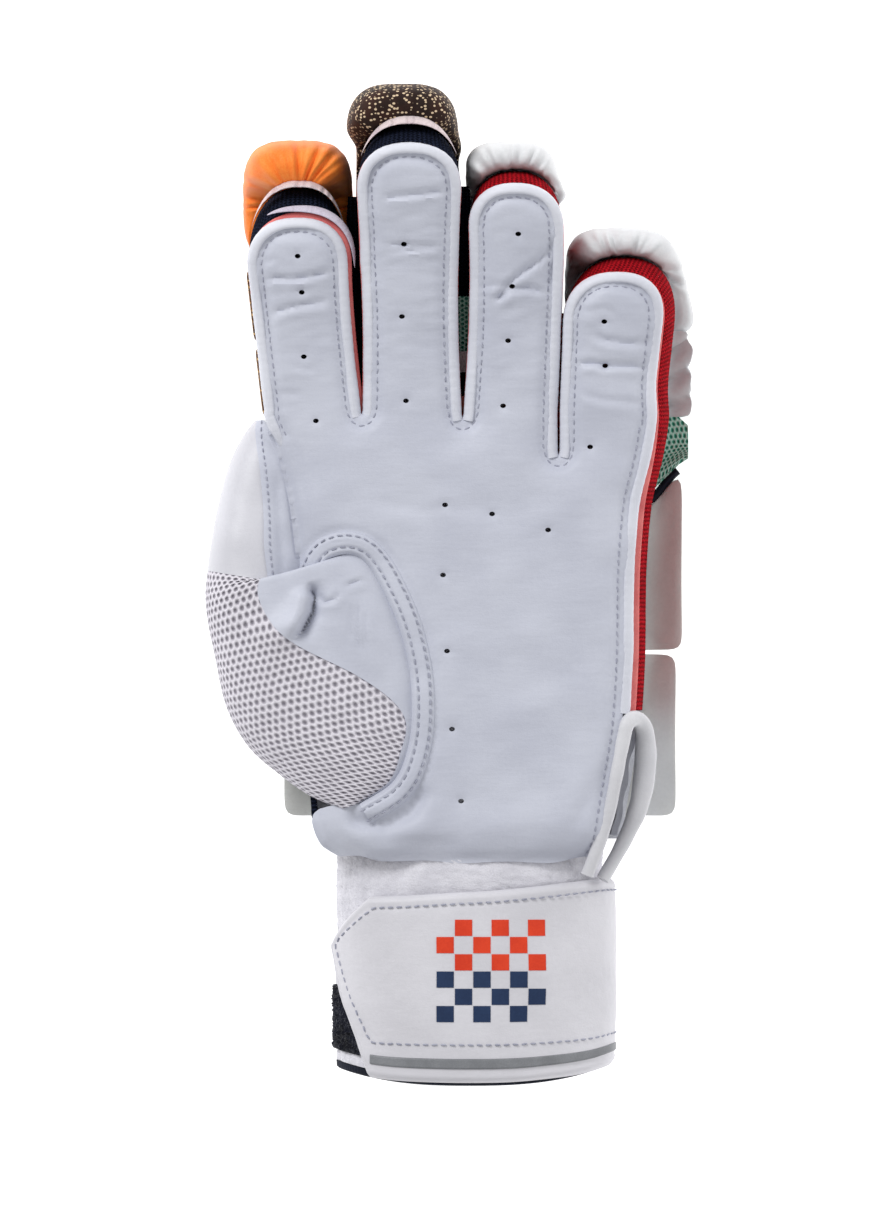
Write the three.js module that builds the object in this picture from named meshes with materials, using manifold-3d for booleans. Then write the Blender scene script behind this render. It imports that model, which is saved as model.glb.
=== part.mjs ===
// A left-hand cricket batting glove, empty, lying on its padded back with the palm up.
// Millimetres: +X towards the little finger, +Y towards the fingertips, +Z out of the palm.
// The hand goes in at the wrist, so palm, back, finger stalls, thumb and cuff are thin walls round a hollow.
import * as THREE from "three";
import { mergeVertices } from "three/addons/utils/BufferGeometryUtils.js";
import Module from "manifold-3d";

const wasm = await Module();
wasm.setup();

// Hand
const HAND_WIDTH = 113; // across the roots of the four fingers
const PALM_LENGTH = 130; // heel hem to the roots of the fingers
const FINGER_LENGTH = 78; // middle finger, root to leather tip
const TIP_SPREAD = 10; // how much wider the hand is at the fingertips than at the roots
const FINGER_GAP = 3.2; // widest opening between two fingers
const PALM_HEIGHT = 56; // palm leather above the floor
const BACK_HEIGHT = 21; // back panel above the floor, carried on the pads
const CURL_RISE = 22; // how far the middle fingertip curls up
const EDGE_DROP = 5; // how far the leather falls away towards its edges
const EDGE_ROUND = 13; // width of that rounded edge
const BACK_ARCH = 4; // how far the back panel's sides rise above its middle

// Walls
const LEATHER = 1.8;
const FABRIC = 1.6;
const BINDING_WIDTH = 3.6;
const BINDING_HEIGHT = 2.8;
const LINING = 0.9;
const CLEARANCE = 0.35; // gap left between pieces that touch
const TIP_FLARE = 6; // how far the stall walls lean outwards round a fingertip
const SIDE_FLARE = 4; // and down the outer side of the little finger and the palm

// Pads
const ROLL_THICKNESS = 18;
const ROLL_GAP = 1.2; // flex gap between two rolls
const BLOCK_THICKNESS = 20.5;
const BLOCK_OVERHANG = 9.3; // blocks past the palm's edge, little finger side
const KNUCKLE_LENGTH = 24;
const VENT_DIAMETER = 1.6;

// Thumb
const THUMB_CREST = 7; // above the palm leather
const THUMB_DEPTH = 26; // through the thumb stall
const THUMB_PAD_THICKNESS = 12;
const WELT_WIDTH = 4;

// Wrist
const CUFF_WIDTH = 77;
const CUFF_DEPTH = 42;
const CUFF_LENGTH = 71;
const CUFF_WALL = 3;
const CUFF_CENTRE_HEIGHT = 31;
const CUFF_TUCK = 6; // cuff hidden under the palm's heel
const STRAP_WIDTH = 54;
const STRAP_THICKNESS = 2.4;
const STRIPE_WIDTH = 3;
const SLIT_BINDING = 3.6;

const LEATHER_GREY = 0xccd3de;
const WHITE = 0xf2f2f0;
const NAVY = 0x141a2c;
const RED = 0xa5182a;
const CORAL = 0xf08078;
const ORANGE = 0xf5822a;
const BROWN = 0x4a2e22;
const GREEN = 0x6fae9a;
const MESH_GREY = 0xc9c2cc;
const TERRY = 0xe9e9ee;
const SILVER = 0xa6a8aa;

const lerp = (a, b, t) => a + (b - a) * t;
const clamp = (t) => Math.min(1, Math.max(0, t));
const smooth = (t) => clamp(t) ** 2 * (3 - 2 * clamp(t));
const steps = (n) => Array.from({ length: n + 1 }, (_, i) => i / n);
// Steps that crowd towards 1, for shapes that round off there.
const easedSteps = (n) => steps(n).map((t) => Math.sin((t * Math.PI) / 2));

// A smooth value through a table's rows: key is the column that runs, and value the column that is read.
function through(rows, key, value, at) {
  let i = 0;
  while (i < rows.length - 2 && rows[i + 1][key] < at) i++;
  const t = clamp((at - rows[i][key]) / (rows[i + 1][key] - rows[i][key]));
  const before = rows[Math.max(0, i - 1)][value];
  const after = rows[Math.min(rows.length - 1, i + 2)][value];
  const [p, q] = [rows[i][value], rows[i + 1][value]];
  const bend = t * t * (3 - 2 * t);
  const slopes = ((q - before) / 2) * (t - 2 * t * t + t ** 3) + ((after - p) / 2) * (t ** 3 - t * t);
  return lerp(p, q, bend) + slopes;
}

// Fingers: root is the share of the hand's width, and reach the share of the longest finger's length.
// The tip roll, as shares of a roll's thickness: its sideways lean, its reach past the leather tip,
// how much wider it is than the finger on each side, and how far it splays towards the little finger side.
const FINGERS = [
  { name: "index", root: 0.252, reach: 0.724, lean: -0.024, overhang: 1.26, girth: 0.083, splay: 0 },
  { name: "middle", root: 0.259, reach: 1, lean: -0.116, overhang: 0.97, girth: 0.089, splay: 0 },
  { name: "ring", root: 0.246, reach: 0.851, lean: -0.105, overhang: 0.7, girth: 0.03, splay: 0 },
  { name: "little", root: 0.243, reach: 0.523, lean: 0.13, overhang: 0.74, girth: 0.09, splay: 0.28 },
];
// Lines between the fingers: spread is the share of TIP_SPREAD that a line leans out by the fingertips,
// notch how far its crotch lies below the roots as a share of the palm's length, open the share of FINGER_GAP.
const LINES = [
  { spread: -0.505, notch: 0.02, open: 0 },
  { spread: -0.218, notch: -0.008, open: 1 },
  { spread: 0.04, notch: 0, open: 0.9 },
  { spread: 0.168, notch: 0.082, open: 0 },
  { spread: 0.5, notch: 0.02, open: 0 },
];
// The palm's two sides, from the heel up: shares of PALM_LENGTH and of half the HAND_WIDTH.
const PALM_SIDES = [
  { up: 0, left: -0.58, right: 0.7 },
  { up: 0.035, left: -0.7, right: 0.765 },
  { up: 0.08, left: -0.748, right: 0.79 },
  { up: 0.16, left: -0.77, right: 0.82 },
  { up: 0.3, left: -0.795, right: 0.872 },
  { up: 0.45, left: -0.81, right: 0.895 },
  { up: 0.65, left: -0.815, right: 0.902 },
  { up: 0.8, left: -0.853, right: 0.93 },
  { up: 0.91, left: -0.915, right: 0.99 },
  { up: 1, left: -1, right: 1.02 },
];

const HALF_HAND = HAND_WIDTH / 2;
const SPREAD_AT = 0.56 * FINGER_LENGTH;
const MEET_AT = 0.94 * FINGER_LENGTH;
const LEAST_GAP = 2 * CLEARANCE;
const TIP_ROUND = 2.35; // 2 is a half circle, and more is squarer

const lineRoots = [-HALF_HAND];
FINGERS.forEach((finger, i) => lineRoots.push(lineRoots[i] + finger.root * HAND_WIDTH));
const lineAt = (k, y) => lineRoots[k] + LINES[k].spread * TIP_SPREAD * clamp((y - PALM_LENGTH) / SPREAD_AT);
const crotchY = (k) => PALM_LENGTH * (1 - LINES[k].notch);
function gapAt(k, y) {
  const up = clamp((y - crotchY(k)) / (PALM_LENGTH + MEET_AT - crotchY(k)));
  return LEAST_GAP + LINES[k].open * FINGER_GAP * Math.sin(Math.PI * up);
}
const palmSide = (side, y) => through(PALM_SIDES, "up", side, y / PALM_LENGTH) * HALF_HAND;
const tipY = (f) => PALM_LENGTH + FINGERS[f].reach * FINGER_LENGTH;

// Left or right edge of a finger at height y, grown outwards by grow, with its tip lengthened by grow and flare.
function fingerSpan(f, y, grow = 0, flare = 0) {
  const outerLeft = f === 0 && y < PALM_LENGTH ? palmSide("left", y) : lineAt(f, y) + gapAt(f, y) / 2;
  const rightSide = f === 3 && y < PALM_LENGTH ? palmSide("right", y) : lineAt(f + 1, y) - gapAt(f + 1, y) / 2;
  const outerRight = rightSide + (f === 3 && flare > 0 ? SIDE_FLARE : 0);
  const middle = (outerLeft + outerRight) / 2;
  const half = (outerRight - outerLeft) / 2 + grow;
  const top = tipY(f) + grow + flare;
  const round = half + flare;
  const t = clamp((y - (top - round)) / round);
  const width = half * (1 - t ** TIP_ROUND) ** (1 / TIP_ROUND);
  return [middle - width, middle + width];
}

// One finger's outline from its left crotch round the tip to its right crotch.
function fingerPath(f, count, grow = 0, flare = 0, from = crotchY(f), to = crotchY(f + 1)) {
  const top = tipY(f) + grow + flare - 1e-3;
  const rise = (start) => easedSteps(count).map((t) => lerp(start, top, t));
  const left = rise(from).map((y) => new THREE.Vector2(fingerSpan(f, y, grow, flare)[0], y));
  const right = rise(to).map((y) => new THREE.Vector2(fingerSpan(f, y, grow, flare)[1], y));
  return [...left, ...right.reverse().slice(1)];
}

const sidePath = (side, from, to, count, grow = 0) =>
  steps(count).map((t) => {
    const y = lerp(from, to, t);
    return new THREE.Vector2(palmSide(side, y) + (side === "left" ? -grow : grow), y);
  });

// The hand's outline, from the heel's left corner round the fingers to its right corner.
const HAND_OUTLINE = [
  ...sidePath("left", 0, crotchY(0), 14),
  ...FINGERS.flatMap((_, f) => fingerPath(f, 9)),
  ...sidePath("right", crotchY(4), 0, 14),
];

// Distance from a point to the hand's outline, without the hem at the heel.
function edgeDistance(x, y) {
  let best = Infinity;
  for (let i = 0; i < HAND_OUTLINE.length - 1; i++) {
    const [a, b] = [HAND_OUTLINE[i], HAND_OUTLINE[i + 1]];
    const [dx, dy] = [b.x - a.x, b.y - a.y];
    const t = clamp(((x - a.x) * dx + (y - a.y) * dy) / (dx * dx + dy * dy || 1));
    best = Math.min(best, Math.hypot(x - a.x - t * dx, y - a.y - t * dy));
  }
  return best;
}

const CURL_FROM = PALM_LENGTH - 12;
const rise = (y) => CURL_RISE * Math.max(0, (y - CURL_FROM) / (PALM_LENGTH + FINGER_LENGTH - CURL_FROM)) ** 1.9;
const HEEL_DIP = 2;
const heelDip = (y) => HEEL_DIP * (1 - smooth(y / (0.14 * PALM_LENGTH)));
const levelAt = (y) => PALM_HEIGHT + rise(y) - heelDip(y);
function palmTop(x, y, atEdge = false) {
  const inside = atEdge ? 0 : clamp(edgeDistance(x, y) / EDGE_ROUND);
  return levelAt(y) - EDGE_DROP * (1 - inside) ** 2;
}
const BACK_FALL = 5; // the back panel comes down to meet the cuff
const FALL_FROM = 0.467 * PALM_LENGTH;
const backArch = (x, y) => BACK_ARCH * (x / HALF_HAND) ** 2 * (1 - 0.6 * smooth((y - PALM_LENGTH) / SPREAD_AT));
const backFall = (y) => BACK_FALL * clamp((FALL_FROM - y) / FALL_FROM);
const backTop = (x, y) => BACK_HEIGHT + rise(y) + backArch(x, y) - backFall(y);

// Solids

// A geometry from points and triangles, turned so that its faces point outwards.
function solid(points, triangles) {
  let volume = 0;
  for (const [a, b, c] of triangles) volume += points[a].dot(points[b].clone().cross(points[c]));
  const turned = volume < 0 ? triangles.map(([a, b, c]) => [a, c, b]) : triangles;
  const geometry = new THREE.BufferGeometry().setFromPoints(points).setIndex(turned.flat());
  return mergeVertices(geometry, 1e-3);
}

// A closed body through rings of points, with flat ends or, if it is round, joined end to end.
function loft(rings, round = false) {
  const size = rings[0].length;
  const points = rings.flat();
  const triangles = [];
  const last = round ? rings.length : rings.length - 1;
  for (let i = 0; i < last; i++) {
    const next = (i + 1) % rings.length;
    for (let j = 0; j < size; j++) {
      const [a, b] = [i * size + j, i * size + ((j + 1) % size)];
      const [c, d] = [next * size + j, next * size + ((j + 1) % size)];
      triangles.push([a, b, d], [a, d, c]);
    }
  }
  if (!round)
    for (let j = 1; j < size - 1; j++) {
      const end = (rings.length - 1) * size;
      triangles.push([0, j + 1, j], [end, end + j, end + j + 1]);
    }
  return solid(points, triangles);
}

// A sheet between an outer and an inner grid of points, closed round its edge.
function sheet(outer, inner) {
  const [rows, columns] = [outer.length, outer[0].length];
  const points = [...outer.flat(), ...inner.flat()];
  const under = rows * columns;
  const triangles = [];
  for (let i = 0; i < rows - 1; i++)
    for (let j = 0; j < columns - 1; j++) {
      const [a, b, c, d] = [i * columns + j, i * columns + j + 1, (i + 1) * columns + j + 1, (i + 1) * columns + j];
      triangles.push([a, b, c], [a, c, d], [under + a, under + c, under + b], [under + a, under + d, under + c]);
    }
  const rim = [];
  for (let j = 0; j < columns; j++) rim.push(j);
  for (let i = 1; i < rows; i++) rim.push(i * columns + columns - 1);
  for (let j = columns - 2; j >= 0; j--) rim.push((rows - 1) * columns + j);
  for (let i = rows - 2; i > 0; i--) rim.push(i * columns);
  rim.forEach((a, n) => {
    const b = rim[(n + 1) % rim.length];
    triangles.push([b, a, under + a], [b, under + a, under + b]);
  });
  return solid(points, triangles);
}

function toManifold(geometry) {
  const plain = new THREE.BufferGeometry().setAttribute("position", geometry.getAttribute("position"));
  if (geometry.index) plain.setIndex(geometry.index);
  const merged = mergeVertices(plain, 1e-3);
  return new wasm.Manifold(
    new wasm.Mesh({
      numProp: 3,
      vertProperties: new Float32Array(merged.attributes.position.array),
      triVerts: new Uint32Array(merged.index.array),
    }),
  );
}

function fromManifold(body) {
  const mesh = body.getMesh();
  return new THREE.BufferGeometry()
    .setAttribute("position", new THREE.BufferAttribute(new Float32Array(mesh.vertProperties), 3))
    .setIndex(new THREE.BufferAttribute(new Uint32Array(mesh.triVerts), 1));
}

// A curved slab over a rectangle of the plan, cut to an outline.
function slab(outline, columns, rows, top, thickness) {
  const box = new THREE.Box2().setFromPoints(outline).expandByScalar(1);
  const grid = (offset) =>
    steps(rows).map((v) =>
      steps(columns).map((u) => {
        const [x, y] = [lerp(box.min.x, box.max.x, u), lerp(box.min.y, box.max.y, v)];
        return new THREE.Vector3(x, y, top(x, y) - offset);
      }),
    );
  const height = 400;
  const cutter = new THREE.ExtrudeGeometry(new THREE.Shape(outline), { depth: height, bevelEnabled: false });
  cutter.translate(0, 0, -height / 2);
  return toManifold(sheet(grid(0), grid(thickness))).intersect(toManifold(cutter));
}

const material = (color, roughness = 0.7) => new THREE.MeshStandardMaterial({ color, roughness, metalness: 0 });
const glove = new THREE.Group();
function add(name, geometry, color, roughness) {
  const mesh = new THREE.Mesh(geometry, material(color, roughness));
  mesh.name = name;
  glove.add(mesh);
}

// The outward direction at each point of a path in the plan that keeps the hand on its right.
function outwards(path) {
  return path.map((_, i) => {
    const [a, b] = [path[Math.max(0, i - 1)], path[Math.min(path.length - 1, i + 1)]];
    return new THREE.Vector2(-(b.y - a.y), b.x - a.x).normalize();
  });
}

// A strip along a path: section gives its corners at each point as [outwards, height] pairs.
function strip(path, section) {
  const normals = outwards(path);
  return loft(
    path.map((p, i) =>
      section(p, normals[i], i / (path.length - 1)).map(
        ([out, z]) => new THREE.Vector3(p.x + normals[i].x * out, p.y + normals[i].y * out, z),
      ),
    ),
  );
}

// Thumb ribs: each runs from a point on the oval seam or the valley beside the palm to the thumb's outer edge.
// Shares of half the HAND_WIDTH and of PALM_LENGTH; crest is the share of THUMB_CREST and seam where the leather ends.
const RIBS = [
  { k: 0, inX: -0.51, inY: 0.13, outX: -0.6, outY: 0.118, crest: 0.2, seam: 0.04 },
  { k: 1, inX: -0.34, inY: 0.178, outX: -0.761, outY: 0.147, crest: 0.45, seam: 0.03 },
  { k: 2, inX: -0.269, inY: 0.243, outX: -0.926, outY: 0.196, crest: 0.75, seam: 0.03 },
  { k: 3, inX: -0.242, inY: 0.325, outX: -1.08, outY: 0.256, crest: 0.95, seam: 0.03 },
  { k: 4, inX: -0.258, inY: 0.437, outX: -1.193, outY: 0.345, crest: 1, seam: 0.22 },
  { k: 5, inX: -0.34, inY: 0.56, outX: -1.253, outY: 0.459, crest: 1, seam: 0.47 },
  { k: 6, inX: -0.494, inY: 0.672, outX: -1.29, outY: 0.538, crest: 0.9, seam: 0.52 },
  { k: 7, inX: -0.655, inY: 0.675, outX: -1.301, outY: 0.593, crest: 0.8, seam: 0.44 },
  { k: 8, inX: -0.75, inY: 0.61, outX: -1.29, outY: 0.649, crest: 0.6, seam: 0.33 },
  { k: 9, inX: -0.822, inY: 0.69, outX: -1.269, outY: 0.716, crest: 0.25, seam: 0.3 },
  { k: 10, inX: -0.85, inY: 0.775, outX: -1.234, outY: 0.798, crest: -0.2, seam: 0.3 },
  { k: 11, inX: -0.904, inY: 0.883, outX: -1.177, outY: 0.888, crest: -0.8, seam: 0.32 },
  { k: 12, inX: -0.958, inY: 0.95, outX: -1.104, outY: 0.952, crest: -1.4, seam: 0.4 },
  { k: 13, inX: -0.995, inY: 0.985, outX: -1.045, outY: 0.985, crest: -1.7, seam: 0.5 },
];
const CROTCH_RIB = 8; // ribs past this one belong to the free part of the thumb
const BACK_RIB = 2.2; // the thumb stall has a back from this rib on
const LAST_RIB = 13;

const rib = (column, k) => through(RIBS, "k", column, k);
const bezier = (p, t) =>
  p[0] * (1 - t) ** 3 + 3 * p[1] * t * (1 - t) ** 2 + 3 * p[2] * t * t * (1 - t) + p[3] * t ** 3;

function ribEnds(k) {
  const inner = new THREE.Vector2(rib("inX", k) * HALF_HAND, rib("inY", k) * PALM_LENGTH);
  const outer = new THREE.Vector2(rib("outX", k) * HALF_HAND, rib("outY", k) * PALM_LENGTH);
  const seat = inner.clone().add(outer.clone().sub(inner).setLength(2 * CLEARANCE));
  return { inner: seat, outer };
}
const thumbEdgeHeight = (k) =>
  PALM_HEIGHT - lerp(3, 0.55 * THUMB_DEPTH, smooth(k / 3)) - 2 * smooth((k - CROTCH_RIB) / 4);
const seatHeight = (k, p) =>
  levelAt(p.y) - lerp(LEATHER / 2, EDGE_DROP, smooth((k - CROTCH_RIB + 1.5) / 2)) - CLEARANCE;

// A point of the thumb's palm side: k along the ribs, across from the seam (0) to the outer edge (1), sunk by depth.
function thumbFront(k, across, depth = 0) {
  const { inner, outer } = ribEnds(k);
  const reach = inner.distanceTo(outer) - depth;
  const crest = PALM_HEIGHT + rib("crest", k) * THUMB_CREST - depth;
  const seat = seatHeight(k, inner) - depth;
  const z = bezier([seat, lerp(seat, crest, 0.75), crest + 2, thumbEdgeHeight(k)], across);
  const along = bezier([0, 0.33, 1, 1], across);
  const p = inner.clone().add(outer.clone().sub(inner).setLength(Math.max(0.05, reach) * along));
  return new THREE.Vector3(p.x, p.y, z);
}

// A point of the thumb's back, from the outer edge (0) round to the hand's side or the valley (1).
function thumbBack(k, across, depth = 0) {
  const { inner, outer } = ribEnds(k);
  const free = smooth((k - CROTCH_RIB + 0.6) / 1.2);
  const lip = new THREE.Vector2(palmSide("left", lerp(outer.y, inner.y, 0.6)) - 5 * CLEARANCE, lerp(outer.y, inner.y, 0.5));
  const end = lip.lerp(inner, free);
  const reach = end.distanceTo(outer) - depth;
  const bottom = thumbEdgeHeight(k) - 0.5 * THUMB_DEPTH * lerp(1, 0.45, smooth((k - 9) / 4)) + depth;
  const landing = lerp(thumbEdgeHeight(k) - 0.36 * THUMB_DEPTH, seatHeight(k, inner) - LEATHER - 1, free);
  const edge = thumbEdgeHeight(k) - CLEARANCE;
  const z = bezier([edge, bottom, bottom, landing + depth * 0.2], across);
  const along = bezier([1, 1, 0.3, 0], across);
  const p = end.clone().add(outer.clone().sub(end).setLength(Math.max(0.05, reach) * along));
  return new THREE.Vector3(p.x, p.y, z);
}

function thumbSheet(surface, ks, acrossAt, thickness) {
  const grid = (depth) => ks.map((k) => acrossAt(k).map((b) => surface(k, b, depth)));
  return sheet(grid(0), grid(thickness));
}
const span = (from, to, n) => steps(n).map((t) => lerp(from, to, t));

// The oval seam round the base of the thumb, moved off by a distance towards the palm.
function ovalSeam(off, count, last) {
  const line = steps(count).map((t) => ribEnds(t * last).inner);
  const normals = outwards(line);
  return line.map((p, i) => p.clone().addScaledVector(normals[i], -off));
}

// Palm leather, one piece with the four finger fronts, with a bay for the thumb and cut vents
const BAY = ovalSeam(3 * CLEARANCE, 26, CROTCH_RIB);
const INSET = BINDING_WIDTH + CLEARANCE;
const PALM_OUTLINE = [
  new THREE.Vector2(palmSide("left", 0) + 2, 0),
  ...sidePath("left", 0.03 * PALM_LENGTH, BAY[0].y - 4, 4),
  new THREE.Vector2(BAY[0].x, BAY[0].y - 1),
  ...BAY,
  ...sidePath("left", BAY[BAY.length - 1].y + 4, crotchY(0) - 1, 8, -CLEARANCE),
  ...FINGERS.flatMap((_, f) => {
    const reachesDown = (k) => crotchY(k) - (k === 0 || k === 4 ? 0 : CLEARANCE);
    return fingerPath(f, 9, -INSET, 0, reachesDown(f), reachesDown(f + 1));
  }),
  ...sidePath("right", crotchY(4) - 1, 2, 12, -INSET),
];
// Vents: shares of half the HAND_WIDTH and of PALM_LENGTH.
const VENTS = [
  { x: -0.824, y: 1.347 }, { x: -0.792, y: 1.124 }, { x: -0.73, y: 0.981 }, { x: -0.8, y: 1.267 },
  { x: -0.289, y: 1.213 }, { x: -0.268, y: 1.026 }, { x: -0.278, y: 1.374 },
  { x: 0.307, y: 1.396 }, { x: 0.255, y: 1.16 }, { x: 0.23, y: 1.015 }, { x: 0.276, y: 1.28 },
  { x: 0.748, y: 1.202 }, { x: 0.753, y: 1.104 }, { x: 0.676, y: 0.923 },
  { x: -0.068, y: 0.794 }, { x: 0.173, y: 0.774 }, { x: 0.461, y: 0.738 },
  { x: -0.078, y: 0.638 }, { x: -0.058, y: 0.468 }, { x: -0.032, y: 0.294 }, { x: 0.014, y: 0.133 },
];
function palmPanel() {
  let body = slab(PALM_OUTLINE, 14, 24, (x, y) => palmTop(x, y), LEATHER);
  for (const vent of VENTS) {
    const pin = new THREE.CylinderGeometry(VENT_DIAMETER / 2, VENT_DIAMETER / 2, 60, 5).rotateX(Math.PI / 2);
    const [x, y] = [vent.x * HALF_HAND, vent.y * PALM_LENGTH];
    body = body.subtract(toManifold(pin.translate(x, y, palmTop(x, y))));
  }
  return fromManifold(body);
}
add("palm_leather", palmPanel(), LEATHER_GREY, 0.55);

// Back panel, the fabric that carries the pads
const BACK_FROM = CUFF_TUCK + CLEARANCE;
const BACK_OUTLINE = [
  ...sidePath("left", BACK_FROM, crotchY(0), 8, -CLEARANCE),
  ...FINGERS.flatMap((_, f) => fingerPath(f, 8, -CLEARANCE, TIP_FLARE)),
  ...sidePath("right", crotchY(4), BACK_FROM, 8, SIDE_FLARE - CLEARANCE),
];
add("back_panel", fromManifold(slab(BACK_OUTLINE, 6, 18, backTop, FABRIC)), WHITE, 0.85);

// Stall walls: one band of knitted fabric round each finger, running on down the two sides of the hand
const SLIT_Y = 0.345 * PALM_LENGTH; // the side slit starts here, little finger side
const BAND_STEPS = 9;
// The thumb opens into the palm through a dip in the wall's top edge.
const THUMB_HOLE = { low: 0.14 * PALM_LENGTH, high: 0.7 * PALM_LENGTH, drop: 17 };
const thumbHole = (p) =>
  p.x < 0 ? THUMB_HOLE.drop * smooth((p.y - THUMB_HOLE.low) / 8) * smooth((THUMB_HOLE.high - p.y) / 8) : 0;

// A fabric wall from its top edge down to its foot on the back panel.
function wallBetween(topPath, footPath) {
  const [topOut, footOut] = [outwards(topPath), outwards(footPath)];
  return loft(
    topPath.map((p, i) => {
      const q = footPath[i];
      const top = palmTop(p.x, p.y, true) - BINDING_HEIGHT - LINING - 2 * CLEARANCE - thumbHole(p);
      const foot = backTop(q.x, q.y) + 2 * CLEARANCE;
      const corner = (at, out, inset, z) => new THREE.Vector3(at.x - out.x * inset, at.y - out.y * inset, z);
      return [
        corner(p, topOut[i], CLEARANCE, top),
        corner(q, footOut[i], 0, foot),
        corner(q, footOut[i], FABRIC, foot),
        corner(p, topOut[i], CLEARANCE + FABRIC, top),
      ];
    }),
  );
}
FINGERS.forEach((finger, f) => {
  const leftSide = (grow) => (f === 0 ? sidePath("left", BACK_FROM + 1, crotchY(0) - 2, 12, grow) : []);
  const rightSide = (grow) => (f === 3 ? sidePath("right", crotchY(4) - 2, SLIT_Y, 8, grow) : []);
  const path = (grow, flare) => [
    ...leftSide(grow),
    ...fingerPath(f, BAND_STEPS, grow, flare),
    ...rightSide(flare > 0 ? grow + SIDE_FLARE : grow),
  ];
  add(`stall_wall_${finger.name}`, wallBetween(path(0, 0), path(-CLEARANCE, TIP_FLARE)), f < 2 ? NAVY : RED, 0.9);
});

// Coral lining edge and white leather binding round each finger, and down the little finger side of the palm
FINGERS.forEach((finger, f) => {
  const down = f === 3 ? sidePath("right", crotchY(4) - 2, SLIT_Y, 8) : [];
  const bound = [...fingerPath(f, BAND_STEPS), ...down];
  const lining = strip(bound, (p) => {
    const z = palmTop(p.x, p.y, true) - BINDING_HEIGHT - CLEARANCE;
    return [
      [0, z],
      [0.2, z - LINING],
      [-BINDING_WIDTH * 0.7, z - LINING],
      [-BINDING_WIDTH * 0.7, z],
    ];
  });
  add(`lining_edge_${finger.name}`, lining, CORAL, 0.8);
  const binding = strip(bound, (p) => {
    const z = palmTop(p.x, p.y, true);
    return [
      [-BINDING_WIDTH, z + 0.5],
      [-BINDING_WIDTH * 0.45, z + 1],
      [0, z - BINDING_HEIGHT * 0.4],
      [-0.2, z - BINDING_HEIGHT],
      [-BINDING_WIDTH, z - BINDING_HEIGHT],
    ];
  });
  add(`binding_${finger.name}`, binding, WHITE, 0.5);
});

// Fingertip roll: a closed pad whose rim rises round the fingertip, drawn as rings seen from above
// How far a shape reaches from a centre at an angle, by halving.
function reachOf(inside, centre, angle) {
  let [near, far] = [0, 60];
  for (let i = 0; i < 24; i++) {
    const r = (near + far) / 2;
    if (inside(centre.x + r * Math.cos(angle), centre.y + r * Math.sin(angle))) near = r;
    else far = r;
  }
  return near;
}
const superInside = (cx, cy, a, b, n) => (x, y) => Math.abs((x - cx) / a) ** n + Math.abs((y - cy) / b) ** n < 1;
const ROLL_ROUND = 3.4;

const rollTop = (f) => tipY(f) + FINGERS[f].overhang * ROLL_THICKNESS;
// Beside a neighbour's roll a point must keep to its own side of the line between the fingers.
function ownSide(f, x, y) {
  const clear = ROLL_GAP / 2;
  const leftFree = f === 0 || y > rollTop(f - 1) + clear || x > lineAt(f, y) + clear;
  const rightFree = f === 3 || y > rollTop(f + 1) + clear || x < lineAt(f + 1, y) - clear;
  return leftFree && rightFree;
}

function tipRoll(f, from) {
  const top = rollTop(f);
  const [left, right] = fingerSpan(f, tipY(f) - FINGER_WIDTH_AT);
  const half = (right - left) / 2 + FINGERS[f].girth * ROLL_THICKNESS;
  const cx = (left + right) / 2 + FINGERS[f].lean * ROLL_THICKNESS;
  const centre = new THREE.Vector2(cx, (from + top) / 2);
  const splay = (x, y) => (x > cx ? FINGERS[f].splay * ROLL_THICKNESS * clamp((top - y) / (top - from)) : 0);
  const pillow = (x, y) => superInside(cx, centre.y, half + splay(x, y), (top - from) / 2, ROLL_ROUND)(x, y);
  const overFinger = (x, y, grow) => {
    const [a, b] = fingerSpan(f, y, grow, TIP_FLARE);
    return x > a && x < b && y > from;
  };
  const outline = (x, y) => (pillow(x, y) || (y > centre.y && overFinger(x, y, 3.2))) && ownSide(f, x, y);
  const under = (x, y) => backTop(x, y) - FABRIC - CLEARANCE;
  const bottom = (y) => Math.max(0, under(cx, y) - ROLL_THICKNESS);
  const wallHeight = PALM_HEIGHT - BACK_HEIGHT - EDGE_DROP;
  const count = 24;
  const angles = Array.from({ length: count }, (_, i) => (i / count) * 2 * Math.PI);
  const ring = (reach, height) =>
    angles.map((angle) => {
      const r = reach(angle);
      const [x, y] = [centre.x + r * Math.cos(angle), centre.y + r * Math.sin(angle)];
      return new THREE.Vector3(x, y, height(x, y, smooth((Math.sin(angle) - 0.05) / 0.6)));
    });
  const outer = (angle) => reachOf(outline, centre, angle);
  const inner = (angle) => Math.min(reachOf((x, y) => overFinger(x, y, 5.5 * CLEARANCE), centre, angle), outer(angle) - 0.6);
  const rim = 0.5 * wallHeight;
  const rings = [
    ring((a) => inner(a) * 0.5, under),
    ring(inner, under),
    ring((a) => inner(a) + 0.1, (x, y, up) => under(x, y) + up * rim * 0.75),
    ring((a) => lerp(inner(a), outer(a), 0.45), (x, y, up) => under(x, y) + up * rim - 0.3 * (1 - up)),
    ring((a) => lerp(inner(a), outer(a), 0.88), (x, y, up) => under(x, y) + up * rim * 0.55 - 2 * (1 - up)),
    ring(outer, (x, y, up) => lerp(under(x, y), bottom(y), 0.4 - 0.2 * up) + up * 2),
    ring((a) => outer(a) * 0.93, (x, y) => lerp(under(x, y), bottom(y), 0.82)),
    ring((a) => outer(a) * 0.7, (x, y) => bottom(y)),
  ];
  return loft(rings);
}
const FINGER_WIDTH_AT = 18; // below the tip, where a finger is measured for its roll

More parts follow.
